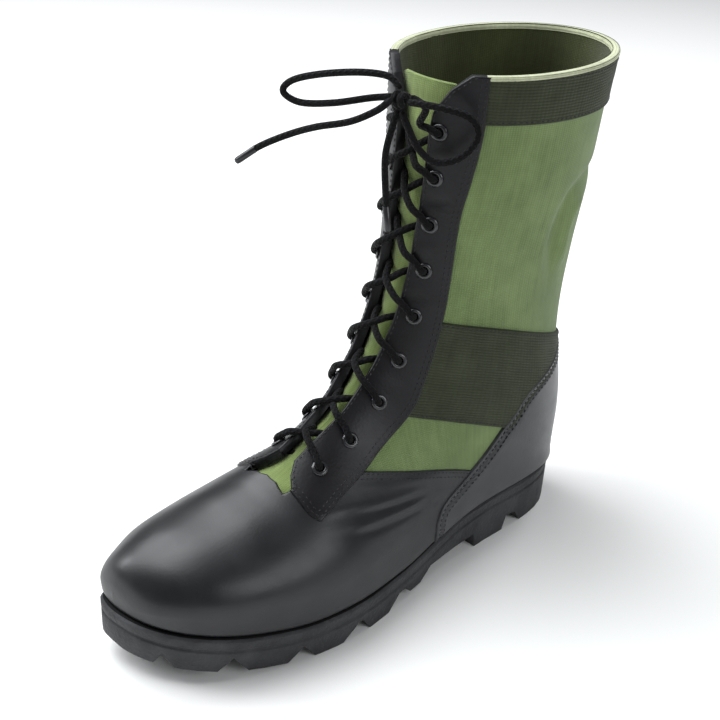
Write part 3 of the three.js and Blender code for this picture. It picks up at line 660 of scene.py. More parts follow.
@dataclass(frozen=True)
class Finish:
    """What a surface is made of.

    Attributes:
        name: The stuff's common name and how its surface was made.
        base: Main colour.
        second: Colour that the main one varies to.
        roughness: Middle roughness.
        spread: How far the roughness varies.
        specular: Specular level.
        coat: Clear top layer's weight.
        sheen: Weight of the fibres' soft edge light.
        metallic: 1 for bare metal.
    """

    name: str
    base: str
    second: str
    roughness: float
    spread: float = 0.08
    specular: float = 0.5
    coat: float = 0.0
    coat_roughness: float = 0.2
    sheen: float = 0.0
    metallic: float = 0.0

    def height(self, tree: Tree, place: Socket) -> Grain:
        """Builds the surface's fine relief from the position on the object, in metres."""
        return noise(tree, place, 900.0, 3.0), 0.0002, 0.3

    def dye(self, tree: Tree, place: Socket, scale: float = 45.0, detail: float = 4.0, roughness: float = 0.6,
            low: float = 0.35) -> Socket:
        """Builds the two tones in soft clouds."""
        cloud = noise(tree, place, scale, detail, roughness)
        return blend(tree, ramp(tree, cloud, low, 1 - low), self.base, self.second)

    def tint(self, tree: Tree, place: Socket, height: Socket) -> Socket:
        """Builds the colour, which may follow the fine relief."""
        return self.dye(tree, place)

    def material(self) -> bpy.types.Material:
        """Makes the material, or finds the one made before."""
        made = bpy.data.materials.get(self.name)
        if made is not None:
            return made
        made = bpy.data.materials.new(self.name)
        made.use_nodes = True
        made.diffuse_color = linear(self.base)
        tree = made.node_tree
        shader = tree.nodes["Principled BSDF"]
        place = node(tree, "TexCoord").outputs["Object"]
        height, depth, strength = self.height(tree, place)
        bump = node(tree, "Bump", {"Height": height, "Distance": depth, "Strength": strength})
        low, high = max(self.roughness - self.spread, 0.02), min(self.roughness + self.spread, 1.0)
        links = {"Normal": bump.outputs["Normal"], "Base Color": self.tint(tree, place, height),
                 "Roughness": ramp(tree, noise(tree, place, 60.0, 3.0), 0.3, 0.7, low, high)}
        for name, output in links.items():
            tree.links.new(output, shader.inputs[name])
        values = {"Specular IOR Level": self.specular, "Coat Weight": self.coat,
                  "Coat Roughness": self.coat_roughness, "Sheen Weight": self.sheen, "Metallic": self.metallic}
        for name, value in values.items():
            shader.inputs[name].default_value = value
        return made


@dataclass(frozen=True)
class Leather(Finish):
    """Corrected-grain cowhide, black and polished: a fine pebble with pores, and a soft broad gloss."""

    grain_mm: float = 0.9
    grain_strength: float = 0.25

    def height(self, tree: Tree, place: Socket) -> Grain:
        """Builds the pebble and pores of the grain."""
        cells = node(tree, "TexVoronoi", {"Vector": place, "Scale": 1 / (self.grain_mm * MM)}, feature="SMOOTH_F1")
        pores = noise(tree, place, 420.0, 4.0)
        return calc(tree, "ADD", cells.outputs["Distance"], pores), 0.00012, self.grain_strength


@dataclass(frozen=True)
class Weave(Finish):
    """Woven cloth: threads that pass over and under each other, along the lay that the piece keeps."""

    thread_mm: float = 1.0
    strength: float = 0.5
    rib: bool = False

    def height(self, tree: Tree, place: Socket) -> Grain:
        """Builds the threads of the weave, which wander a little."""
        wander = scaled(tree, noise(tree, place, 260.0, 2.0, output="Color"), (0.5, 0.5, 0.5))
        moved = node(tree, "VectorMath", {0: lay(tree), 1: wander}, operation="ADD")
        parts = node(tree, "SeparateXYZ", {0: moved.outputs[0]})
        turn = math.pi / self.thread_mm
        across, along = [
            calc(tree, "ABSOLUTE", calc(tree, "SINE", calc(tree, "MULTIPLY", parts.outputs[axis], turn)))
            for axis in (0, 1)
        ]
        if self.rib:
            return calc(tree, "ADD", calc(tree, "MULTIPLY", across, 0.3), along), 0.00035, self.strength
        return calc(tree, "MULTIPLY", across, along), 0.00035, self.strength

    def tint(self, tree: Tree, place: Socket, height: Socket) -> Socket:
        """Paints shade into the gaps between threads and a little light on their crowns, streaks the yarn and fades the
        dye in clouds.
        """
        dye = self.dye(tree, place, 38.0, 6.0, 0.65, 0.3)
        streak = ramp(tree, noise(tree, scaled(tree, lay(tree), (0.55, 0.03, 0.0)), 1.0, 3.0), 0.3, 0.7, 0.9, 1.1)
        # painted shade in the gaps between threads and painted light on their crowns, times the yarn's streaks
        relief_shade_and_streak = calc(tree, "MULTIPLY", ramp(tree, height, 0.0, 1.0, 0.82, 1.1), streak)
        return node(tree, "VectorMath", {0: dye, "Scale": relief_shade_and_streak}, operation="SCALE").outputs[0]


@dataclass(frozen=True)
class Braid(Finish):
    """Round braided nylon cord: crossing spirals of yarn along the lace."""

    pitch_mm: float = 3.2

    def height(self, tree: Tree, place: Socket) -> Grain:
        """Builds the two crossing spirals from the turn round the cord and the length along it."""
        parts = node(tree, "SeparateXYZ", {0: lay(tree)})
        along = calc(tree, "MULTIPLY", parts.outputs[1], 2 * math.pi / self.pitch_mm)
        spirals = [
            calc(tree, "SINE", calc(tree, "ADD", calc(tree, "MULTIPLY", parts.outputs[0], turn), along))
            for turn in (4.0, -4.0)
        ]
        return ramp(tree, calc(tree, "MAXIMUM", *spirals), -1.0, 1.0), 0.0005, 0.8


@dataclass(frozen=True)
class Rubber(Finish):
    """Moulded rubber: matt, with a fine sandy skin from the mould and faint dust."""

    def height(self, tree: Tree, place: Socket) -> Grain:
        """Builds the mould's sandy skin."""
        return calc(tree, "ADD", noise(tree, place, 620.0, 4.0), noise(tree, place, 160.0, 2.0)), 0.0007, 0.8


@dataclass(frozen=True)
class Gauze(Finish):
    """Fine steel mesh: wires round rows of small holes, painted dark as shade."""

    hole_mm: float = 0.9

    def height(self, tree: Tree, place: Socket) -> Grain:
        """Builds the holes of the mesh."""
        cells = node(tree, "TexVoronoi", {"Vector": place, "Scale": 1 / (self.hole_mm * MM), "Randomness": 0.15})
        return ramp(tree, cells.outputs["Distance"], 0.2, 0.45), 0.0003, 0.8

    def tint(self, tree: Tree, place: Socket, height: Socket) -> Socket:
        """Paints the holes between the wires dark, as painted shade."""
        # painted shade: the holes take the dark second colour
        return blend(tree, height, self.second, self.base)


# Polished black cowhide of the foot: deep black with a blue grey gloss over large soft areas.
VAMP_LEATHER = Leather("polished_black_cowhide", "#0E0F12", "#141518", 0.4, 0.05, 0.42, 0.08, 0.22)
# Black cowhide of the eyestays: less polish and more grain, so its light is broken up.
STAY_LEATHER = Leather("grained_black_cowhide", "#09090B", "#0F0F12", 0.43, 0.07,
                        0.24, 0.12, 0.3, grain_mm=1.3, grain_strength=0.55)
# Black cowhide of the heel counter with a dull sheen; its base colour, greyer than the foot's, is partly the leather's
# own tone and partly painted sheen.
COUNTER_LEATHER = Leather("dull_black_cowhide", "#222326", "#2C2D30", 0.4, 0.06, 0.45, 0.12, 0.35, grain_strength=0.3)
# Cotton duck: plain weave, dry and matt. The real threads are 0.5 mm apart, drawn at 1 mm so that they show.
CANVAS = Weave("cotton_duck_green", "#607345", "#758957", 0.88, 0.05, 0.25, sheen=0.25, thread_mm=1.0)
TONGUE_CANVAS = Weave("cotton_duck_tongue", "#697B43", "#839557", 0.88, 0.05, 0.25, sheen=0.25, thread_mm=1.0)
# Nylon webbing: coarse ribs along the tape with a faint yarn shine.
WEBBING = Weave("nylon_webbing_olive", "#2A2E1F", "#373C2C", 0.78, 0.06, 0.2, sheen=0.07, thread_mm=1.5, rib=True,
                strength=0.8)
# Cotton lining: dark olive and matt.
LINING = Weave("cotton_lining_olive", "#363B20", "#444A2A", 0.92, 0.04, 0.2, sheen=0.2, thread_mm=0.9)
# Binding tape over the collar's edge: pale grey green cotton.
BINDING = Weave("cotton_binding_pale", "#999E80", "#BDC2A2", 0.85, 0.05, 0.25, sheen=0.2, thread_mm=0.8, rib=True)
# Moulded black rubber of the sole.
SOLE_RUBBER = Rubber("moulded_black_rubber", "#28282A", "#38393B", 0.68, 0.08, 0.35)
# Painted shade in the seam between leather and rubber: a deep black strip where the groove's shadow falls.
SEAM_SHADE = Finish("painted_seam_shade", "#050506", "#080809", 0.7, 0.05, 0.15)
# Black lacquer over brass: small sharp lights.
LACQUER = Finish("black_lacquered_brass", "#141416", "#1C1C1F", 0.28, 0.05, 0.5, 0.4, 0.15)
# Braided black nylon.
LACE = Braid("braided_black_nylon", "#060607", "#0D0D0F", 0.75, 0.06, 0.12, sheen=0.03)
# Bonded nylon thread.
THREAD = Finish("bonded_black_thread", "#131315", "#1D1D20", 0.5, 0.05, 0.35)
# Zinc plated steel gauze of the drain vents; its dark second colour is painted shade in its holes.
GAUZE = Gauze("steel_mesh_grey", "#8A8D8A", "#1C1D1C", 0.42, 0.05, 0.5, metallic=0.5)
VENT_RIM = Finish("satin_grey_steel", "#6E716E", "#7C7F7B", 0.36, 0.05, 0.5, metallic=0.8)
# Woven cover of the insole.
INSOLE_COVER = Weave("woven_insole_olive", "#33371F", "#40452A", 0.93, 0.03, 0.2, thread_mm=1.1)
# Smooth paper backdrop.
PAPER = Finish("white_backdrop_paper", "#F2F2F0", "#F2F2F0", 0.8, 0.02, 0.2)
# Plastic lace tip.
TIP = Finish("black_acetate_tip", "#18181A", "#1E1E20", 0.3, 0.04, 0.5)


def dress(piece: Piece, finish: Finish, slot: str, *nodes: str) -> Piece:
    """Gives a piece its finish and its place in the frame.

    Args:
        piece: The piece.
        finish: What it is made of.
        slot: The record's material slot; not used.
        nodes: Solids that it stands for.

    Returns:
        The piece.
    """
    piece.data.materials.clear()
    piece.data.materials.append(finish.material())
    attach(piece, "root")
    if nodes:
        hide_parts(*nodes)
    LOG.info("%s: %d faces, %s", piece.name, len(piece.data.polygons), finish.name)
    return piece


# Heights over the surface, in millimetres: the wall's thickness, then the faces of the layers on it
WALL = 2.2
STAY_TOP = 2.15
BAND_TOP = 1.55
COUNTER_TOP = 2.05
FOOT_TOP = 1.0
# Depth that a layer's free edge is turned down to, and the radius of a punched hole
LIP = -2.6
HOLE_RADIUS = 2.75
# Reach of the curl with which a layer meets the sole
TUCK_REACH = 1.6
# Millimetres of cloth round the boot for a share of 1
GIRTH = 130.0

# Panel edges, each with the panel on one side: y and z as seen from the side, but x and z for the throat

REAR_LINE = ((41.5, 300), (41.5, 262), (41.5, 247), (39.5, 225), (37, 203), (35.5, 170), (32, 147), (26.5, 128),
             (19, 110), (9, 98.5), (-10, 87), (-22, 80.5), (-40, 74), (-55, 68.5), (-70, 63))
TAB_LINE = ((-53, 60), (-57.5, 67.8), (-60.5, 71), (-61.5, 76), (-61.5, 84), (-61.5, 120))
COUNTER_LINE = ((175, 119), (150, 110), (135, 105), (98, 92.5), (79, 76.5), (64, 65), (49, 56.5), (28, 47), (22, 39),
                (21, 30), (21, 0))
BAND_TOP_LINE = ((145, 108), (138, 111), (105, 124), (69, 137), (33, 147.5), (20, 151), (0, 157))
BAND_LOW_LINE = ((-20, 111), (-6, 106), (8, 100.5), (35, 91), (76, 74.5), (110, 60), (138, 48))
FOOT_LINE = ((110, 15), (90, 33), (72, 46), (49, 58), (30, 65.5), (11, 71.5), (-21, 80.5), (-45, 85), (-60, 92),
             (-63, 100), (-64, 130))
THROAT_LINE = ((-1, 81.7), (0.5, 81.6), (7, 80.6), (14, 77.8), (15, 79), (9.5, 82.8), (5.4, 87), (5, 93), (6.2, 106),
               (7.4, 126), (8.2, 150), (8.8, 200), (9.4, 246), (10.6, 256), (18, 268), (26, 275.5), (34, 282),
               (34, 310))
CUFF_LINE = ((20, 252.5), (60, 251.5), (110, 251), (170, 251))
SIDES = {"lateral": 1, "medial": -1}
# Row and share of each eyelet's hole, from the collar down
EYELETS = ((20.29, 0.1), (19.44, 0.108), (18.18, 0.124), (16.92, 0.136), (15.46, 0.138), (13.5, 0.14), (10.96, 0.148),
           (9.08, 0.153), (7.81, 0.138))

CREASES = tuple(Crease(*row) for row in (
    # height, half width, points
    # two long folds on the outer side of the foot, each a ridge over a trough
    (0.7, 2.2, ((31, -56, 69), (35, -38, 68), (38, -12, 64.5), (39, 18, 61))),
    (-0.8, 2.0, ((32, -56, 65.5), (36, -38, 64.5), (39, -12, 61), (40, 18, 58))),
    (0.75, 2.0, ((39, -53, 63), (41, -29, 59.5), (40, 0, 56.5), (40, 22, 56))),
    (-0.8, 2.2, ((40, -53, 59.5), (42, -29, 55.5), (41, 0, 52.5), (41, 22, 52.5))),
    (0.4, 2.4, ((30, -32, 75), (36, -4, 70), (38, 30, 63))),
    # short wrinkles where the folds meet the counter
    (0.6, 1.4, ((40, 14, 54), (41, 24, 52))),
    (0.55, 1.4, ((40, 18, 49), (41, 30, 50))),
    (0.5, 1.6, ((41, 26, 46), (41, 40, 43))),
    (0.45, 1.8, ((41, 36, 49), (40, 50, 47))),
    # the same folds, softer, on the inner side
    (0.6, 2.4, ((-30, -50, 68), (-36, -22, 62), (-36, 14, 58))),
    (-0.7, 2.4, ((-32, -50, 64), (-38, -22, 58), (-37, 14, 54))),
    # seam that runs down from the tip of the outer eyestay
    (-0.55, 1.1, ((27, -69, 66), (29, -73, 60), (31, -78, 50))),
    # bend of the vamp over the toes
    (-0.35, 5.0, ((-34, -70, 57), (-6, -74, 77.5), (30, -70, 69))),
    (0.25, 6.0, ((-34, -84, 56), (-6, -88, 73), (34, -84, 62))),
    # back of the shaft: a dent that runs down and forward
    (-2.8, 4.5, ((20, 150, 222), (34, 128, 214), (41, 106, 209), (40, 97, 192), (38, 99, 170), (35, 104, 150))),
    (2.5, 4.0, ((36, 128, 203), (41, 112, 196), (39, 108, 180), (36, 112, 158))),
    (-1.2, 6.0, ((-24, 148, 200), (-38, 122, 190), (-40, 96, 180))),
    (0.9, 7.0, ((-30, 146, 232), (-44, 118, 226))),
    # ankle
    (0.7, 5.0, ((20, 12, 160), (32, 38, 158), (36, 70, 166))),
    (-0.7, 5.0, ((24, 26, 138), (34, 50, 130), (37, 78, 128))),
    (0.8, 5.0, ((-20, 12, 160), (-32, 38, 156), (-36, 70, 164))),
    (0.6, 5.0, ((28, 20, 114), (36, 44, 104), (37, 70, 96))),
    # waves of the eyestays between the holes
    (0.55, 3.5, ((10, 23, 235), (24, 32, 236))),
    (-0.45, 3.5, ((10, 22, 212), (24, 31, 213))),
    (0.45, 3.5, ((10, 17, 188), (23, 28, 188))),
    (-0.5, 3.5, ((8, 10, 162), (23, 24, 162))),
    (0.55, 3.5, ((-10, 23, 235), (-24, 32, 236))),
    (-0.45, 3.5, ((-10, 17, 188), (-23, 28, 188))),
    # collar
    (-0.7, 6.0, ((47, 70, 276), (45, 72, 262))),
    (0.7, 7.0, ((30, 130, 277), (28, 132, 262))),
    (-0.8, 7.0, ((-46, 84, 277), (-44, 86, 262))),
))


@dataclass
class Panel:
    """A layer of leather or cloth cut from the boot's surface, with rounded edges and sewn lines.

    Attributes:
        top: Height of its face.
        low: Height of its cut edge.
        round_over: Distance from the edge to its full height.
        grooves: Distance from the edge, depth and half width of each pressed groove.
        cloth_line: Edge that the threads run along.
        free_edges: Edges that show the layer's thickness.
        tuck: How far it curls in where it meets the sole.
        weave_split: Turns the cloth below the ankle band.
        cap_top: Closes its end at the collar.
    """

    name: str
    last: Last
    relief: Relief
    rows: Pair
    shares: Pair
    edges: tuple[Edge, ...]
    top: float
    spacing: float = 1.5
    round_over: float = 0.9
    low: float = -0.2
    grooves: tuple[tuple[float, float, float], ...] = ()
    holes: tuple[Pair, ...] = ()
    cloth_line: Optional[Edge] = None
    free_edges: tuple[int, ...] = ()
    tuck: float = 0.0
    weave_split: bool = False
    cap_top: bool = False
    sheet: Optional[Sheet] = None

    def distance(self, sheet: Sheet) -> Array:
        """Distance of each point of a sheet from the panel's nearest edge."""
        p, n = sheet.points, sheet.normals
        return np.min([e.measure(p, n) for e in self.edges], axis=0) if self.edges else np.full(len(p), FAR)

    def hole_distance(self, sheet: Sheet, row: float, share: float) -> Array:
        """Distance of each point from a hole's wall."""
        centre, axis = self.last.spot(row, share)
        off = sheet.points - centre
        aside = np.linalg.norm(off - np.outer(off @ axis, axis), axis=1) - HOLE_RADIUS
        return aside + FAR * (np.linalg.norm(off, axis=1) > 20)

    def cut(self) -> Sheet:
        """Cuts the panel from the surface and adds the edge lines of its rounded rim."""
        sheet = Sheet.patch(self.last, self.rows, self.shares, self.spacing)
        for edge in self.edges:
            sheet = sheet.split(edge.measure(sheet.points, sheet.normals))
        levels = [0.3 * self.round_over, self.round_over] if self.edges else []
        for level in levels + [groove[0] for groove in self.grooves]:
            sheet = sheet.split(self.distance(sheet) - level, keep_all=True)
        for row, share in self.holes:
            sheet = sheet.split(self.hole_distance(sheet, row, share))
        return sheet

    def outs(self, sheet: Sheet) -> Array:
        """Heights of a sheet's points over the surface."""
        d = np.maximum(self.distance(sheet), 0)
        t = np.clip(d / self.round_over, 0, 1)
        out = self.low + (self.top - self.low) * np.sqrt(np.maximum(1 - (1 - t) ** 2, 0))
        for at, depth, width in self.grooves:
            out -= depth * np.exp(-(((d - at) / width) ** 2))
        rise = sheet.points[:, 2] - self.last.sole_top(sheet.points[:, 1]) - self.last.gap
        out -= self.tuck * np.exp(-((np.maximum(rise, 0) / TUCK_REACH) ** 2))
        return out + self.relief.height(sheet.points)

    def build(self) -> Piece:
        """Makes the panel's mesh."""
        sheet = self.sheet = self.cut()
        p, n = sheet.points, sheet.normals
        points = p + n * self.outs(sheet)[:, None]
        faces = sheet.faces
        if self.free_edges:
            near = np.min([np.abs(self.edges[k].measure(p, n)) for k in self.free_edges], axis=0) < 0.05
            ends = near | (self.cap_top & (sheet.at[:, 0] > self.last.top_row - 0.01))
            rim = np.array([e for e in sheet.rim_edges() if ends[e[0]] and ends[e[1]]])
            if len(rim):
                used = np.unique(rim)
                fresh = dict(zip(used.tolist(), range(len(points), len(points) + len(used))))
                lower = p[used] + n[used] * (LIP + self.relief.height(p[used]))[:, None]
                points = np.vstack([points, lower])
                faces = [tuple(f) for f in faces] + [(b, a, fresh[a], fresh[b]) for a, b in rim.tolist()]
        return mesh_object(self.name, points, faces, self.cloth(sheet, len(points)))

    def cloth(self, sheet: Sheet, count: int) -> Array:
        """Lay of the threads: distance round the boot, and height or distance from a line."""
        p, n = sheet.points, sheet.normals
        girth = sheet.at[:, 1] * GIRTH
        rise = p[:, 2] + 0.25 * p[:, 1] if self.cloth_line is None else self.cloth_line.measure(p, n)
        if self.weave_split:
            below = p[:, 2] < 132 - 0.42 * p[:, 1]
            girth, rise = np.where(below, p[:, 1], girth), p[:, 2]
        values = np.zeros((count, 3))
        values[: len(p), :2] = np.stack([girth, rise], axis=1)
        return values


@dataclass
class Stitching:
    """Rows of lockstitch along a panel's edges."""

    name: str
    panel: Panel
    insets: tuple[float, ...]
    edges: Optional[tuple[int, ...]] = None
    pitch: float = 3.0
    length: float = 2.3
    thick: float = 0.62

    def lines(self) -> list[Array]:
        """Rows and shares along each row of stitches."""
        sheet = self.panel.sheet
        assert sheet is not None
        p, n = sheet.points, sheet.normals
        chosen = range(len(self.panel.edges)) if self.edges is None else self.edges
        d = np.min([self.panel.edges[k].measure(p, n) for k in chosen], axis=0)
        return [line for inset in self.insets for line in sheet.level_lines(d - inset)]

    def shape(self, rings: int = 5, sides: int = 6) -> tuple[Array, list]:
        """One stitch: points along, across and up from its middle, and faces."""
        points = []
        for along in np.linspace(-0.5, 0.5, rings):
            swell = self.thick / 2 * math.sqrt(max(1 - (2 * along) ** 2, 0.04))
            for turn in np.linspace(0, 2 * math.pi, sides, endpoint=False):
                points.append((along * self.length, math.cos(turn) * swell,
                               math.sin(turn) * swell - 0.5 * self.thick * (2 * along) ** 2))
        return np.array(points), grid_faces(rings, sides, closed=True)

    def build(self) -> Optional[Piece]:
        """Makes one mesh of all the stitches."""
        last, panel = self.panel.last, self.panel
        shape, shape_faces = self.shape()
        points, faces = [], []
        for line in self.lines():
            base = last.skin(*line.T)
            run = run_of(base)
            count = int(run[-1] // self.pitch)
            if count < 2:
                continue
            at = (np.arange(count) + 0.5) * run[-1] / count
            spot = Sheet(last, read_along(at, run, line), np.zeros((0, 3), int))
            n = spot.normals
            centre = spot.points + n * (panel.outs(spot) + 0.1 * self.thick)[:, None]
            ahead = read_along(at + 0.6, run, base) - read_along(at - 0.6, run, base)
            ahead = unit(ahead - n * np.sum(ahead * n, axis=1)[:, None])
            for c, a, b, u in zip(centre, ahead, np.cross(n, ahead), n):
                start = len(points) * len(shape)
                points.append(c + shape @ np.stack([a, b, u]))
                faces.extend(tuple(start + k for k in f) for f in shape_faces)
        return mesh_object(self.name, np.vstack(points), faces) if points else None


def tube(name: str, line: Array, radius: float, sides: int = 14) -> Piece:
    """Makes a round cord with rounded ends.

    Args:
        name: The piece's name.
        line: Its middle line.
        radius: The cord's radius.
        sides: Sides round it.

    Returns:
        The cord, which keeps the turn round it and the length along it for its braid.
    """
    ahead = unit(np.gradient(line, axis=0))
    across = np.cross(ahead[0], (0, 0, 1.0))
    if np.linalg.norm(across) < 0.1:
        across = np.array([1.0, 0, 0])
    run = run_of(line)
    points, threads = [], []
    turns = np.linspace(0, 2 * np.pi, sides, endpoint=False)
    for p, d, at in zip(line, ahead, run):
        across = unit(across - d * np.dot(across, d))
        up = np.cross(d, across)
        end = min(at, run[-1] - at)
        r = radius * math.sqrt(max(1 - (1 - min(end / radius, 1)) ** 2, 0.05))
        points.extend(p + (across * math.cos(a) + up * math.sin(a)) * r for a in turns)
        threads.extend((a, at, 0) for a in turns)
    faces = grid_faces(len(line), sides, closed=True)
    faces += [tuple(reversed(range(sides))), tuple(range(len(points) - sides, len(points)))]
    return mesh_object(name, np.array(points), faces, np.array(threads))


def turned(name: str, profile: Sequence[Pair], centre: Array, axis: Array,
           segments: int = 32) -> Piece:
    """Makes a turned piece.

    Args:
        name: The piece's name.
        profile: Radius and height pairs.
        centre: Where height 0 lies.
        axis: Direction of the heights.
        segments: Steps round it.

    Returns:
        The piece.
    """
    side = unit(np.cross(axis, (0.3, 0.2, 1.0)))
    other = np.cross(axis, side)
    turns = [2 * math.pi * j / segments for j in range(segments)]
    points = [centre + axis * z + (side * math.cos(a) + other * math.sin(a)) * r for r, z in profile for a in turns]
    return mesh_object(name, np.array(points), grid_faces(len(profile), segments, closed=True))


@dataclass
class Upper:
    """Canvas shaft, leather foot, eyestays, counter, ankle band, cuff, lining and collar binding."""

    last: Last
    relief: Relief
    panels: dict[str, Panel] = field(default_factory=dict)

    def throat(self, inset: float = 0.0) -> Edge:
        """The opening down the front, as seen from the front."""
        return Edge(Plane.FRONT, THROAT_LINE[::-1], smooth=False, inset=inset)

    def add(self, name: str, finish: Finish, slot: str, *nodes: str, **sizes: object) -> None:
        """Makes a panel, dresses it and keeps it by name."""
        self.panels[name] = Panel(name, self.last, self.relief, **sizes)
        dress(self.panels[name].build(), finish, slot, *nodes)

    def build(self) -> None:
        """Builds and dresses every layer of the upper."""
        throat, tab = self.throat(), Edge(Plane.SIDE, TAB_LINE[::-1])
        rear = Edge(Plane.SIDE, REAR_LINE[::-1])
        under = Edge(Plane.SIDE, [(y - 4, z) for y, z in REAR_LINE])
        round_boot = (-1, 1)
        self.add("shaft_canvas", CANVAS, "upper_shell", "upper", rows=(0, 21), shares=round_boot,
                 edges=(self.throat(1.0),), top=0.0, low=-0.1, spacing=2.0, round_over=0.5, tuck=2.0, weave_split=True)
        self.add("foot_leather", VAMP_LEATHER, "black_leather", rows=(0, 14), shares=round_boot,
                 edges=(Edge(Plane.SIDE, FOOT_LINE), throat), top=FOOT_TOP, round_over=0.8, free_edges=(1,), tuck=1.3)
        self.add("counter_leather", COUNTER_LEATHER, "black_leather", "heel_counter", rows=(8, 18.5),
                 shares=round_boot, edges=(Edge(Plane.SIDE, COUNTER_LINE),), top=COUNTER_TOP,
                 grooves=((4.4, 1.2, 0.7),), tuck=1.3)
        for side, sign in SIDES.items():
            self.add(f"eyestay_{side}_leather", STAY_LEATHER, "black_leather", f"eyestay_{side}", rows=(6.4, 21),
                     shares=tuple(sorted((0.0, 0.6 * sign))), edges=(throat, rear, tab), top=STAY_TOP, spacing=1.0,
                     holes=tuple((row, share * sign) for row, share in EYELETS), free_edges=(0,), cap_top=True)
            self.add(f"band_{side}_webbing", WEBBING, "olive_webbing", f"ankle_band_{side}", rows=(8.5, 18.5),
                     shares=tuple(sorted((0.1 * sign, 1.0 * sign))),
                     edges=(Edge(Plane.SIDE, BAND_TOP_LINE), Edge(Plane.SIDE, BAND_LOW_LINE), under), top=BAND_TOP,
                     spacing=1.3, round_over=0.6, cloth_line=Edge(Plane.SIDE, BAND_TOP_LINE[::-1]))
        cuff_low = Edge(Plane.SIDE, CUFF_LINE)
        self.add("cuff_webbing", WEBBING, "olive_webbing", "collar_cuff", rows=(18.5, 21), shares=round_boot,
                 edges=(cuff_low, under), top=BAND_TOP, round_over=0.6, cloth_line=cuff_low)
        self.add("lining_cotton", LINING, "upper_shell", rows=(0, 21), shares=round_boot,
                 edges=(self.throat(0.4),), top=-WALL, low=-WALL, spacing=2.6)
        self.binding()
        self.stitches()

    def binding(self, start: float = 0.215, steps: int = 170) -> None:
        """Pale tape folded over the collar's edge, from one side of the throat round the back to the other."""
        shares = np.concatenate([np.linspace(start, 1.0, steps), np.linspace(-1.0, -start, steps)[1:]])
        row = np.full(len(shares), self.last.top_row - 0.01)
        base = self.last.skin(row, shares)
        n = unit(self.last.normal(row, shares) * (1, 1, 0))
        lift = self.relief.height(base)
        profile = ((1.6, -1.5), (1.95, -1.2), (2.0, -0.4), (1.5, 0.35), (0.3, 0.7), (-1.2, 0.7), (-2.2, 0.3),
                   (-2.65, -0.5), (-2.65, -2.2))
        points = [base + n * (out + lift)[:, None] + (0, 0, up) for out, up in profile]
        threads = [np.c_[np.arange(len(row)) * 0.8, 0 * row + k * 0.7, 0 * row] for k in range(len(profile))]
        faces = grid_faces(len(profile), len(row))
        dress(mesh_object("collar_binding", np.vstack(points), faces, np.vstack(threads)), BINDING, "olive_webbing")

    def stitches(self) -> None:
        """Rows of stitches on each layer: panel, distances from its edge, edges and the rows' own name."""
        plan = [(f"eyestay_{side}_leather", (2.0, 4.6), (1, 2), None) for side in SIDES]
        plan += [("counter_leather", (2.2, 6.6), None, None), ("foot_leather", (1.8, 4.2), (0,), None)]
        plan += [(f"band_{side}_webbing", (1.6,), (0, 1), None) for side in SIDES]
        plan += [("cuff_webbing", (1.6, 22.0), (0,), None)]
        plan += [(f"eyestay_{side}_leather", (1.9,), (0,), f"throat_{side}") for side in SIDES]
        for panel, insets, edges, name in plan:
            made = Stitching(f"stitches_{name or panel}", self.panels[panel], insets, edges).build()
            if made is not None:
                dress(made, THREAD, "lace_cord")


@dataclass
class Tongue:
    """Canvas tongue under the laces, with a folded edge."""

    last: Last
    clear: float = 1.0
    thick: float = 2.4
    rows: Array = field(default_factory=lambda: np.array([
        # row, half width as a share of the way round
        [6.1, 0.13], [6.9, 0.165], [7.8, 0.19], [9, 0.23], [10.5, 0.25], [12, 0.25], [14, 0.25], [16, 0.25],
        [18, 0.235], [19.3, 0.215], [20.3, 0.19], [20.75, 0.165], [20.86, 0.12]]))

    def build(self, steps: int = 150, across: int = 48) -> Piece:
        """Makes the tongue as a closed sheet with rounded edges."""
        m = across + 1
        table = rows_at(self.rows, np.linspace(0, len(self.rows) - 1, steps + 1))
        u = np.tile(np.linspace(-1, 1, m), steps + 1)
        t = np.repeat(np.linspace(0, 1, steps + 1), m)
        share = np.repeat(table[:, 1], m) * u
        row = np.repeat(table[:, 0], m)
        p, n = self.last.skin(row, share), self.last.normal(row, share)
        edge = np.sqrt(np.maximum(1 - np.abs(u) ** 10, 0)) * np.sqrt(np.clip((1 - t) / 0.012, 0.0, 1))
        wave = 0.35 * np.sin(p[:, 2] * 0.16 + 1.5 * u) + 0.25 * np.sin(p[:, 2] * 0.41)
        middle = -(self.clear + WALL + self.thick / 2) - 0.5 + wave - 1.2 * (1 - u**2)
        half = self.thick / 2 * np.maximum(edge, 0.02)
        outer, inner = p + n * (middle + half)[:, None], p + n * (middle - half)[:, None]
        count = len(p)
        faces = []
        for i in range(0, steps * m, m):
            for a in range(i, i + across):
                faces += [(a, a + 1, a + m + 1, a + m), (count + a, count + a + m, count + a + m + 1, count + a + 1)]
            b = i + across
            faces += [(i, i + m, count + i + m, count + i), (b, count + b, count + b + m, b + m)]
        for j in range(across):
            k = steps * m + j
            faces += [(j, count + j, count + j + 1, j + 1), (k, k + 1, count + k + 1, count + k)]
        threads = np.c_[share * GIRTH, p[:, 2] + 0.6 * p[:, 1], 0 * t]
        made = mesh_object("tongue_canvas", np.vstack([outer, inner]), faces, np.vstack([threads, threads]))
        return dress(made, TONGUE_CANVAS, "tongue_canvas", "tongue")


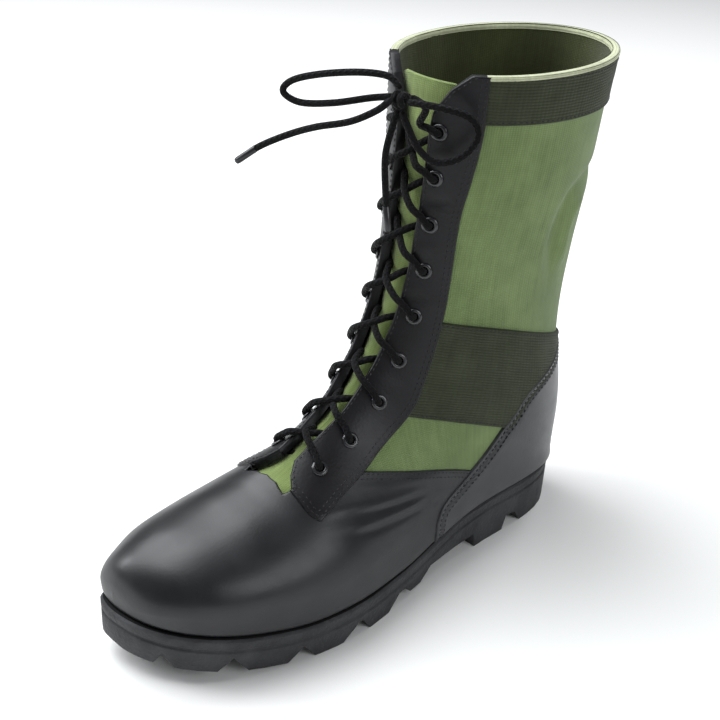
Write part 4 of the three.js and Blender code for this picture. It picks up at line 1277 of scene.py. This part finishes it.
@dataclass
class Eyelets:
    """Lacquered rings in two rows of nine, and the drain vents of the inner side."""

    last: Last
    relief: Relief

    def build(self) -> None:
        """Builds and dresses each ring and vent."""
        ring = ((1.95, -4.2), (2.3, -4.2), (2.3, 0.1), (4.25, 0.1), (4.3, 0.35), (4.05, 0.8), (3.5, 1.12), (2.9, 1.2),
                (2.35, 1.05), (2.0, 0.6), (1.9, 0.0), (1.9, -4.0), (1.95, -4.2))
        for side, sign in SIDES.items():
            for k, (row, share) in enumerate(EYELETS, 1):
                place, n = self.last.spot(row, share * sign)
                centre = place + n * (STAY_TOP + self.relief.height(place[None])[0])
                dress(turned(f"ring_{side}_{k}", ring, centre, n), LACQUER, "eyelet_black", f"eyelet_{side}_{k}")
        rim = ((3.3, 1.2), (3.4, 1.7), (3.9, 2.1), (4.5, 2.05), (5.0, 1.6), (5.1, 0.8))
        mesh = ((0.0, 1.5), (2.0, 1.45), (3.45, 1.3))
        for k, row in enumerate((7.8, 8.4), 1):
            place, n = self.last.spot(row, -0.63)
            dress(turned(f"vent_{k}", rim, place, n), VENT_RIM, "vent_grey", f"drain_vent_{k}")
            dress(turned(f"vent_mesh_{k}", mesh, place, n), GAUZE, "vent_grey")


@dataclass
class Laces:
    """One black lace: crossings through the eyelets, a knot, two loops and two ends."""

    last: Last
    radius: float = 1.7
    pressed: float = 0.15
    spacing: float = 0.9
    knot: Spot = (7.0, 8.0, 263.5)
    loop_outer: tuple = ((8.9, 8, 258.75), (9, 8.05, 257.2), (12, 8.8, 251.5), (18, 11, 242), (25, 16, 236.5),
                         (34, 23, 240), (39, 28, 250), (36, 25, 259), (26, 14, 263.4), (14, 8.2, 263.8),
                         (12, 8, 263.8))
    loop_inner: tuple = ((5, 8, 268.3), (4.9, 8, 269.9), (-1, 6, 273.4), (-13, -1, 273.4), (-30, -10, 270),
                         (-43, -16, 265), (-47, -18, 259), (-39, -14, 255), (-24, -6, 257), (-9, 3.6, 261.4),
                         (0.2, 7.8, 263.5), (2, 8, 263.6))
    end_inner: tuple = ((5.6, 3.3, 263.5), (5.5, 1.7, 263.4), (1.5, -2.5, 258.6), (-9, -9, 252), (-24, -17, 247),
                        (-37, -23, 241), (-50, -30, 233), (-60, -36, 224))
    end_hanging: tuple = ((4.9, 8, 258.75), (4.85, 7.95, 257.1), (4.2, 6.6, 251), (3, 4, 236), (5, 4, 216),
                          (7, 5, 199))
    ties: dict = field(default_factory=lambda: {
        1: ((9.1, 12.75, 263.5), (9.1, 14.4, 263.5), (14.0, 18.0, 259.5)),
        -1: ((4.9, 12.75, 263.5), (4.8, 14.4, 263.5), (-7, 18.0, 260.0)),
    })

    def bow(self) -> None:
        """Builds the knot, and the free parts of the lace as cords that leave it."""
        self.wrap()
        plan = (("loop_outer", self.loop_outer, "object"), ("loop_inner", self.loop_inner, "object"),
                ("end_inner", self.end_inner, "bare"), ("end_hanging", self.end_hanging, "bare"))
        for name, points, far in plan:
            line = even_line(smooth_line(points, 12), self.spacing)
            made = dress(tube(f"lace_{name}_braid", line, self.radius), LACE, "lace_cord", f"lace_{name}")
            pieces = [self.tip(name, line)] if far == "bare" else []

    def tip(self, name: str, line: Array) -> Piece:
        """Makes the plastic tip over the last stretch of an end."""
        profile = ((1.2, -13.0), (1.78, -12.6), (1.8, -1.0), (1.6, 0.1), (1.0, 0.5), (0.0, 0.6))
        return dress(turned(f"tip_{name}", profile, line[-1], unit(line[-1] - line[-4]), 20), TIP, "lace_cord")

    def wrap(self) -> None:
        """Makes the knot as a turn and a half of lace round the strands."""
        x, y, z = self.knot
        t = np.linspace(0, 1, 90)
        a = 2 * np.pi * (1.6 * t) + 0.6
        r = 2.75 + 0.25 * np.sin(3 * a)
        line = np.stack([x - 3.0 + 6.0 * t, y + r * np.cos(a), z + r * np.sin(a)], axis=1)
        dress(tube("lace_knot_wrap", line, self.radius), LACE, "lace_cord", "lace_knot")

    def strand(self, side: int) -> Array:
        """Runs one half of the lace from the knot down through the eyelets to the lowest pair.

        Args:
            side: 1 for the strand that starts on the outer side, -1 for the other one.

        Returns:
            Its points.
        """
        top = STAY_TOP + 1.2
        # way to the eyelet before and to the next one, part of the eyelet's share, height
        steps = ((0.26, 0, 0.42, top + 1.6), (0.14, 0, 0.72, top + 1.5), (0, 0, 0.95, top + 0.9), (0, 0, 1.0, 0.6),
                 (0, 0, 1.0, -3.6), (0, 0.12, 0.78, -5.0), (0, 0.26, 0.36, -2.2))

        def at(row: float, share: float, out: float) -> Array:
            """Gives the point that lies out millimetres above the last at a row and share."""
            place, n = self.last.spot(row, share)
            return place + n * out

        line = [np.array(p, float) for p in self.ties[side]]
        for i, (row, share) in enumerate(EYELETS):
            s = side if i % 2 == 0 else -side
            lowest = i + 1 == len(EYELETS)
            after, after_share = EYELETS[i] if lowest else EYELETS[i + 1]
            before = EYELETS[i - 1][0] if i else row + 0.3
            for back, on, part, out in steps[:-1] if lowest else steps:
                line.append(at(row + (before - row) * back + (after - row) * on, s * share * part, out))
            if lowest:
                line.append(at(row, s * share * 0.3, -5.4))
            else:
                high = 2.4 if side > 0 else 0.6
                line.append(at(row + (after - row) * 0.5, s * (share - after_share) * 0.5, high))
        return even_line(smooth_line(line, 10), self.spacing)

    def build(self) -> None:
        """Builds the bow and the crossings."""
        self.bow()
        for k, side in enumerate((1, -1)):
            made = tube(f"lace_strand_{k}", self.strand(side), self.radius + self.pressed)
            dress(made, LACE, "lace_cord", *(("lace_crossings",) if k == 0 else ()))


@dataclass
class Sole:
    """Lugged rubber outsole and the insole in it."""

    last: Last
    nodes: dict

    def build(self) -> None:
        """Builds and dresses all of it."""
        made = placed("outsole_rubber", self.nodes["outsole"].data.copy())
        self.soften(made, 0.0006)
        dress(made, SOLE_RUBBER, "sole_rubber", "outsole")
        self.seam()
        self.insole()

    def seam(self, steps: int = 260) -> None:
        """Makes a black strip of painted shade where the upper meets the sole's rim."""
        heel = self.last.heel_row
        rows = np.concatenate([np.linspace(0, heel, steps), np.linspace(heel, 0, steps)[1:]])
        side = np.where(np.arange(len(rows)) < steps, 1.0, -1.0)
        points = []
        # a thin dark sheet on the rim, painted shade of the seam's groove
        for out, up in ((-1.35, 0.05), (-1.35, 0.22), (-4.6, 0.3)):
            xy = self.last.outline(rows, side, out)
            points.append(np.c_[xy, self.last.sole_top(xy[:, 1]) + up])
        dress(mesh_object("rim_seam_shade", np.vstack(points), grid_faces(3, len(rows))), SEAM_SHADE, "sole_rubber")

    def soften(self, piece: Piece, width: float) -> None:
        """Rounds the moulded edges of a piece."""
        form = bmesh.new()
        form.from_mesh(piece.data)
        bmesh.ops.remove_doubles(form, verts=form.verts, dist=1e-5)
        bmesh.ops.dissolve_limit(form, angle_limit=math.radians(2), verts=form.verts, edges=form.edges)
        form.to_mesh(piece.data)
        form.free()
        bevel = piece.modifiers.new("edge", "BEVEL")
        bevel.width = width
        bevel.segments = 2
        bevel.limit_method = "ANGLE"
        bevel.angle_limit = math.radians(28)
        bevel.harden_normals = True
        graph = bpy.context.evaluated_depsgraph_get()
        done = bpy.data.meshes.new_from_object(piece.evaluated_get(graph))
        piece.modifiers.clear()
        piece.data = done
        done.polygons.foreach_set("use_smooth", [True] * len(done.polygons))
        done.set_sharp_from_angle(angle=math.radians(40))

    def insole(self, steps: int = 120, across: int = 24) -> None:
        """Makes the insole: a thin cupped sheet over the sole."""
        rows = np.linspace(0, self.last.heel_row, steps)
        inset = -(self.last.rim + WALL + 1.1)
        m = across + 1
        a, b = [np.repeat(self.last.outline(rows, np.full(steps, side), inset), m, axis=0) for side in (1.0, -1.0)]
        t = np.tile(np.linspace(0, 1, m), steps)
        xy = a * (1 - t)[:, None] + b * t[:, None]
        z = self.last.sole_top(xy[:, 1]) + 3.3 - 1.6 * np.abs(2 * t - 1) ** 14
        made = mesh_object("insole_cover", np.c_[xy, z], grid_faces(steps, m), np.c_[xy, 0 * z])
        dress(made, INSOLE_COVER, "insole_foam", "insole")


@dataclass
class Studio:
    """Pale floor, soft lights and the camera."""

    eye: Spot = (0.3901, -0.3930, 0.4137)
    aim: Spot = (-0.0024, -0.0035, 0.1254)
    roll_deg: float = 3.17
    lens: float = 60.0
    middle: Spot = (0, 0, 0.12)
    floor: float = 4000.0
    # brightness of the room as the boot sees it, and as the camera does
    room: Pair = (0.235, 0.95)
    # name, place, size and power of each soft box
    lights: tuple = (("key", (-0.75, -0.3, 1.5), 1.5, 46), ("toe", (-1.25, -0.95, 0.8), 0.5, 10),
                     ("fill", (1.7, 0.2, 1.0), 1.0, 13), ("rim", (-0.2, 1.6, 1.5), 0.9, 12))

    def look(self, made: Piece, place: Spot, aim: Spot, roll: float = 0.0) -> None:
        """Puts an object at a place and turns it to look at another one."""
        turn = (Vector(aim) - Vector(place)).to_track_quat("-Z", "Y").to_matrix().to_4x4()
        made.matrix_world = Matrix.Translation(place) @ turn @ Matrix.Rotation(math.radians(roll), 4, "Z")

    def camera(self) -> None:
        """Places the camera where the picture was taken from, aimed at the one boot."""
        made = placed("camera", bpy.data.cameras.new("camera"))
        made.data.lens = self.lens
        made.data.sensor_width = 36
        made.data.clip_start = 0.01
        self.look(made, self.eye, self.aim, self.roll_deg)
        bpy.context.scene.camera = made

    def build(self) -> None:
        """Lays the floor and hangs the lights."""
        size = self.floor
        corners = np.array([(-size, -size, 0), (size, -size, 0), (size, size, 0), (-size, size, 0)])
        floor = mesh_object("floor", corners, [(0, 1, 2, 3)])
        floor.data.materials.append(PAPER.material())
        world = bpy.context.scene.world = bpy.data.worlds.new("studio")
        world.use_nodes = True
        tree = world.node_tree
        ground = tree.nodes["Background"]
        ground.inputs["Color"].default_value = linear("#F4F5F7")
        ray = node(tree, "LightPath").outputs["Is Camera Ray"]
        tree.links.new(ramp(tree, ray, 0.0, 1.0, *self.room), ground.inputs["Strength"])
        for name, place, spread, power in self.lights:
            lamp = bpy.data.lights.new(name, "AREA")
            lamp.size = spread
            lamp.energy = power
            lamp.color = (0.95, 0.97, 1.0)
            self.look(placed(name, lamp), place, self.middle)
        bpy.context.scene.view_settings.view_transform = "Standard"


def main() -> None:
    """Builds the boot in order."""
    logging.basicConfig(level=logging.INFO, format="%(message)s")
    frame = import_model()
    studio = Studio()
    studio.camera()
    last = Last()
    relief = Relief(CREASES)
    Laces(last).build()
    Upper(last, relief).build()
    Tongue(last).build()
    Eyelets(last, relief).build()
    Sole(last, frame["nodes"]).build()
    studio.build()


if __name__ == "__main__":
    main()
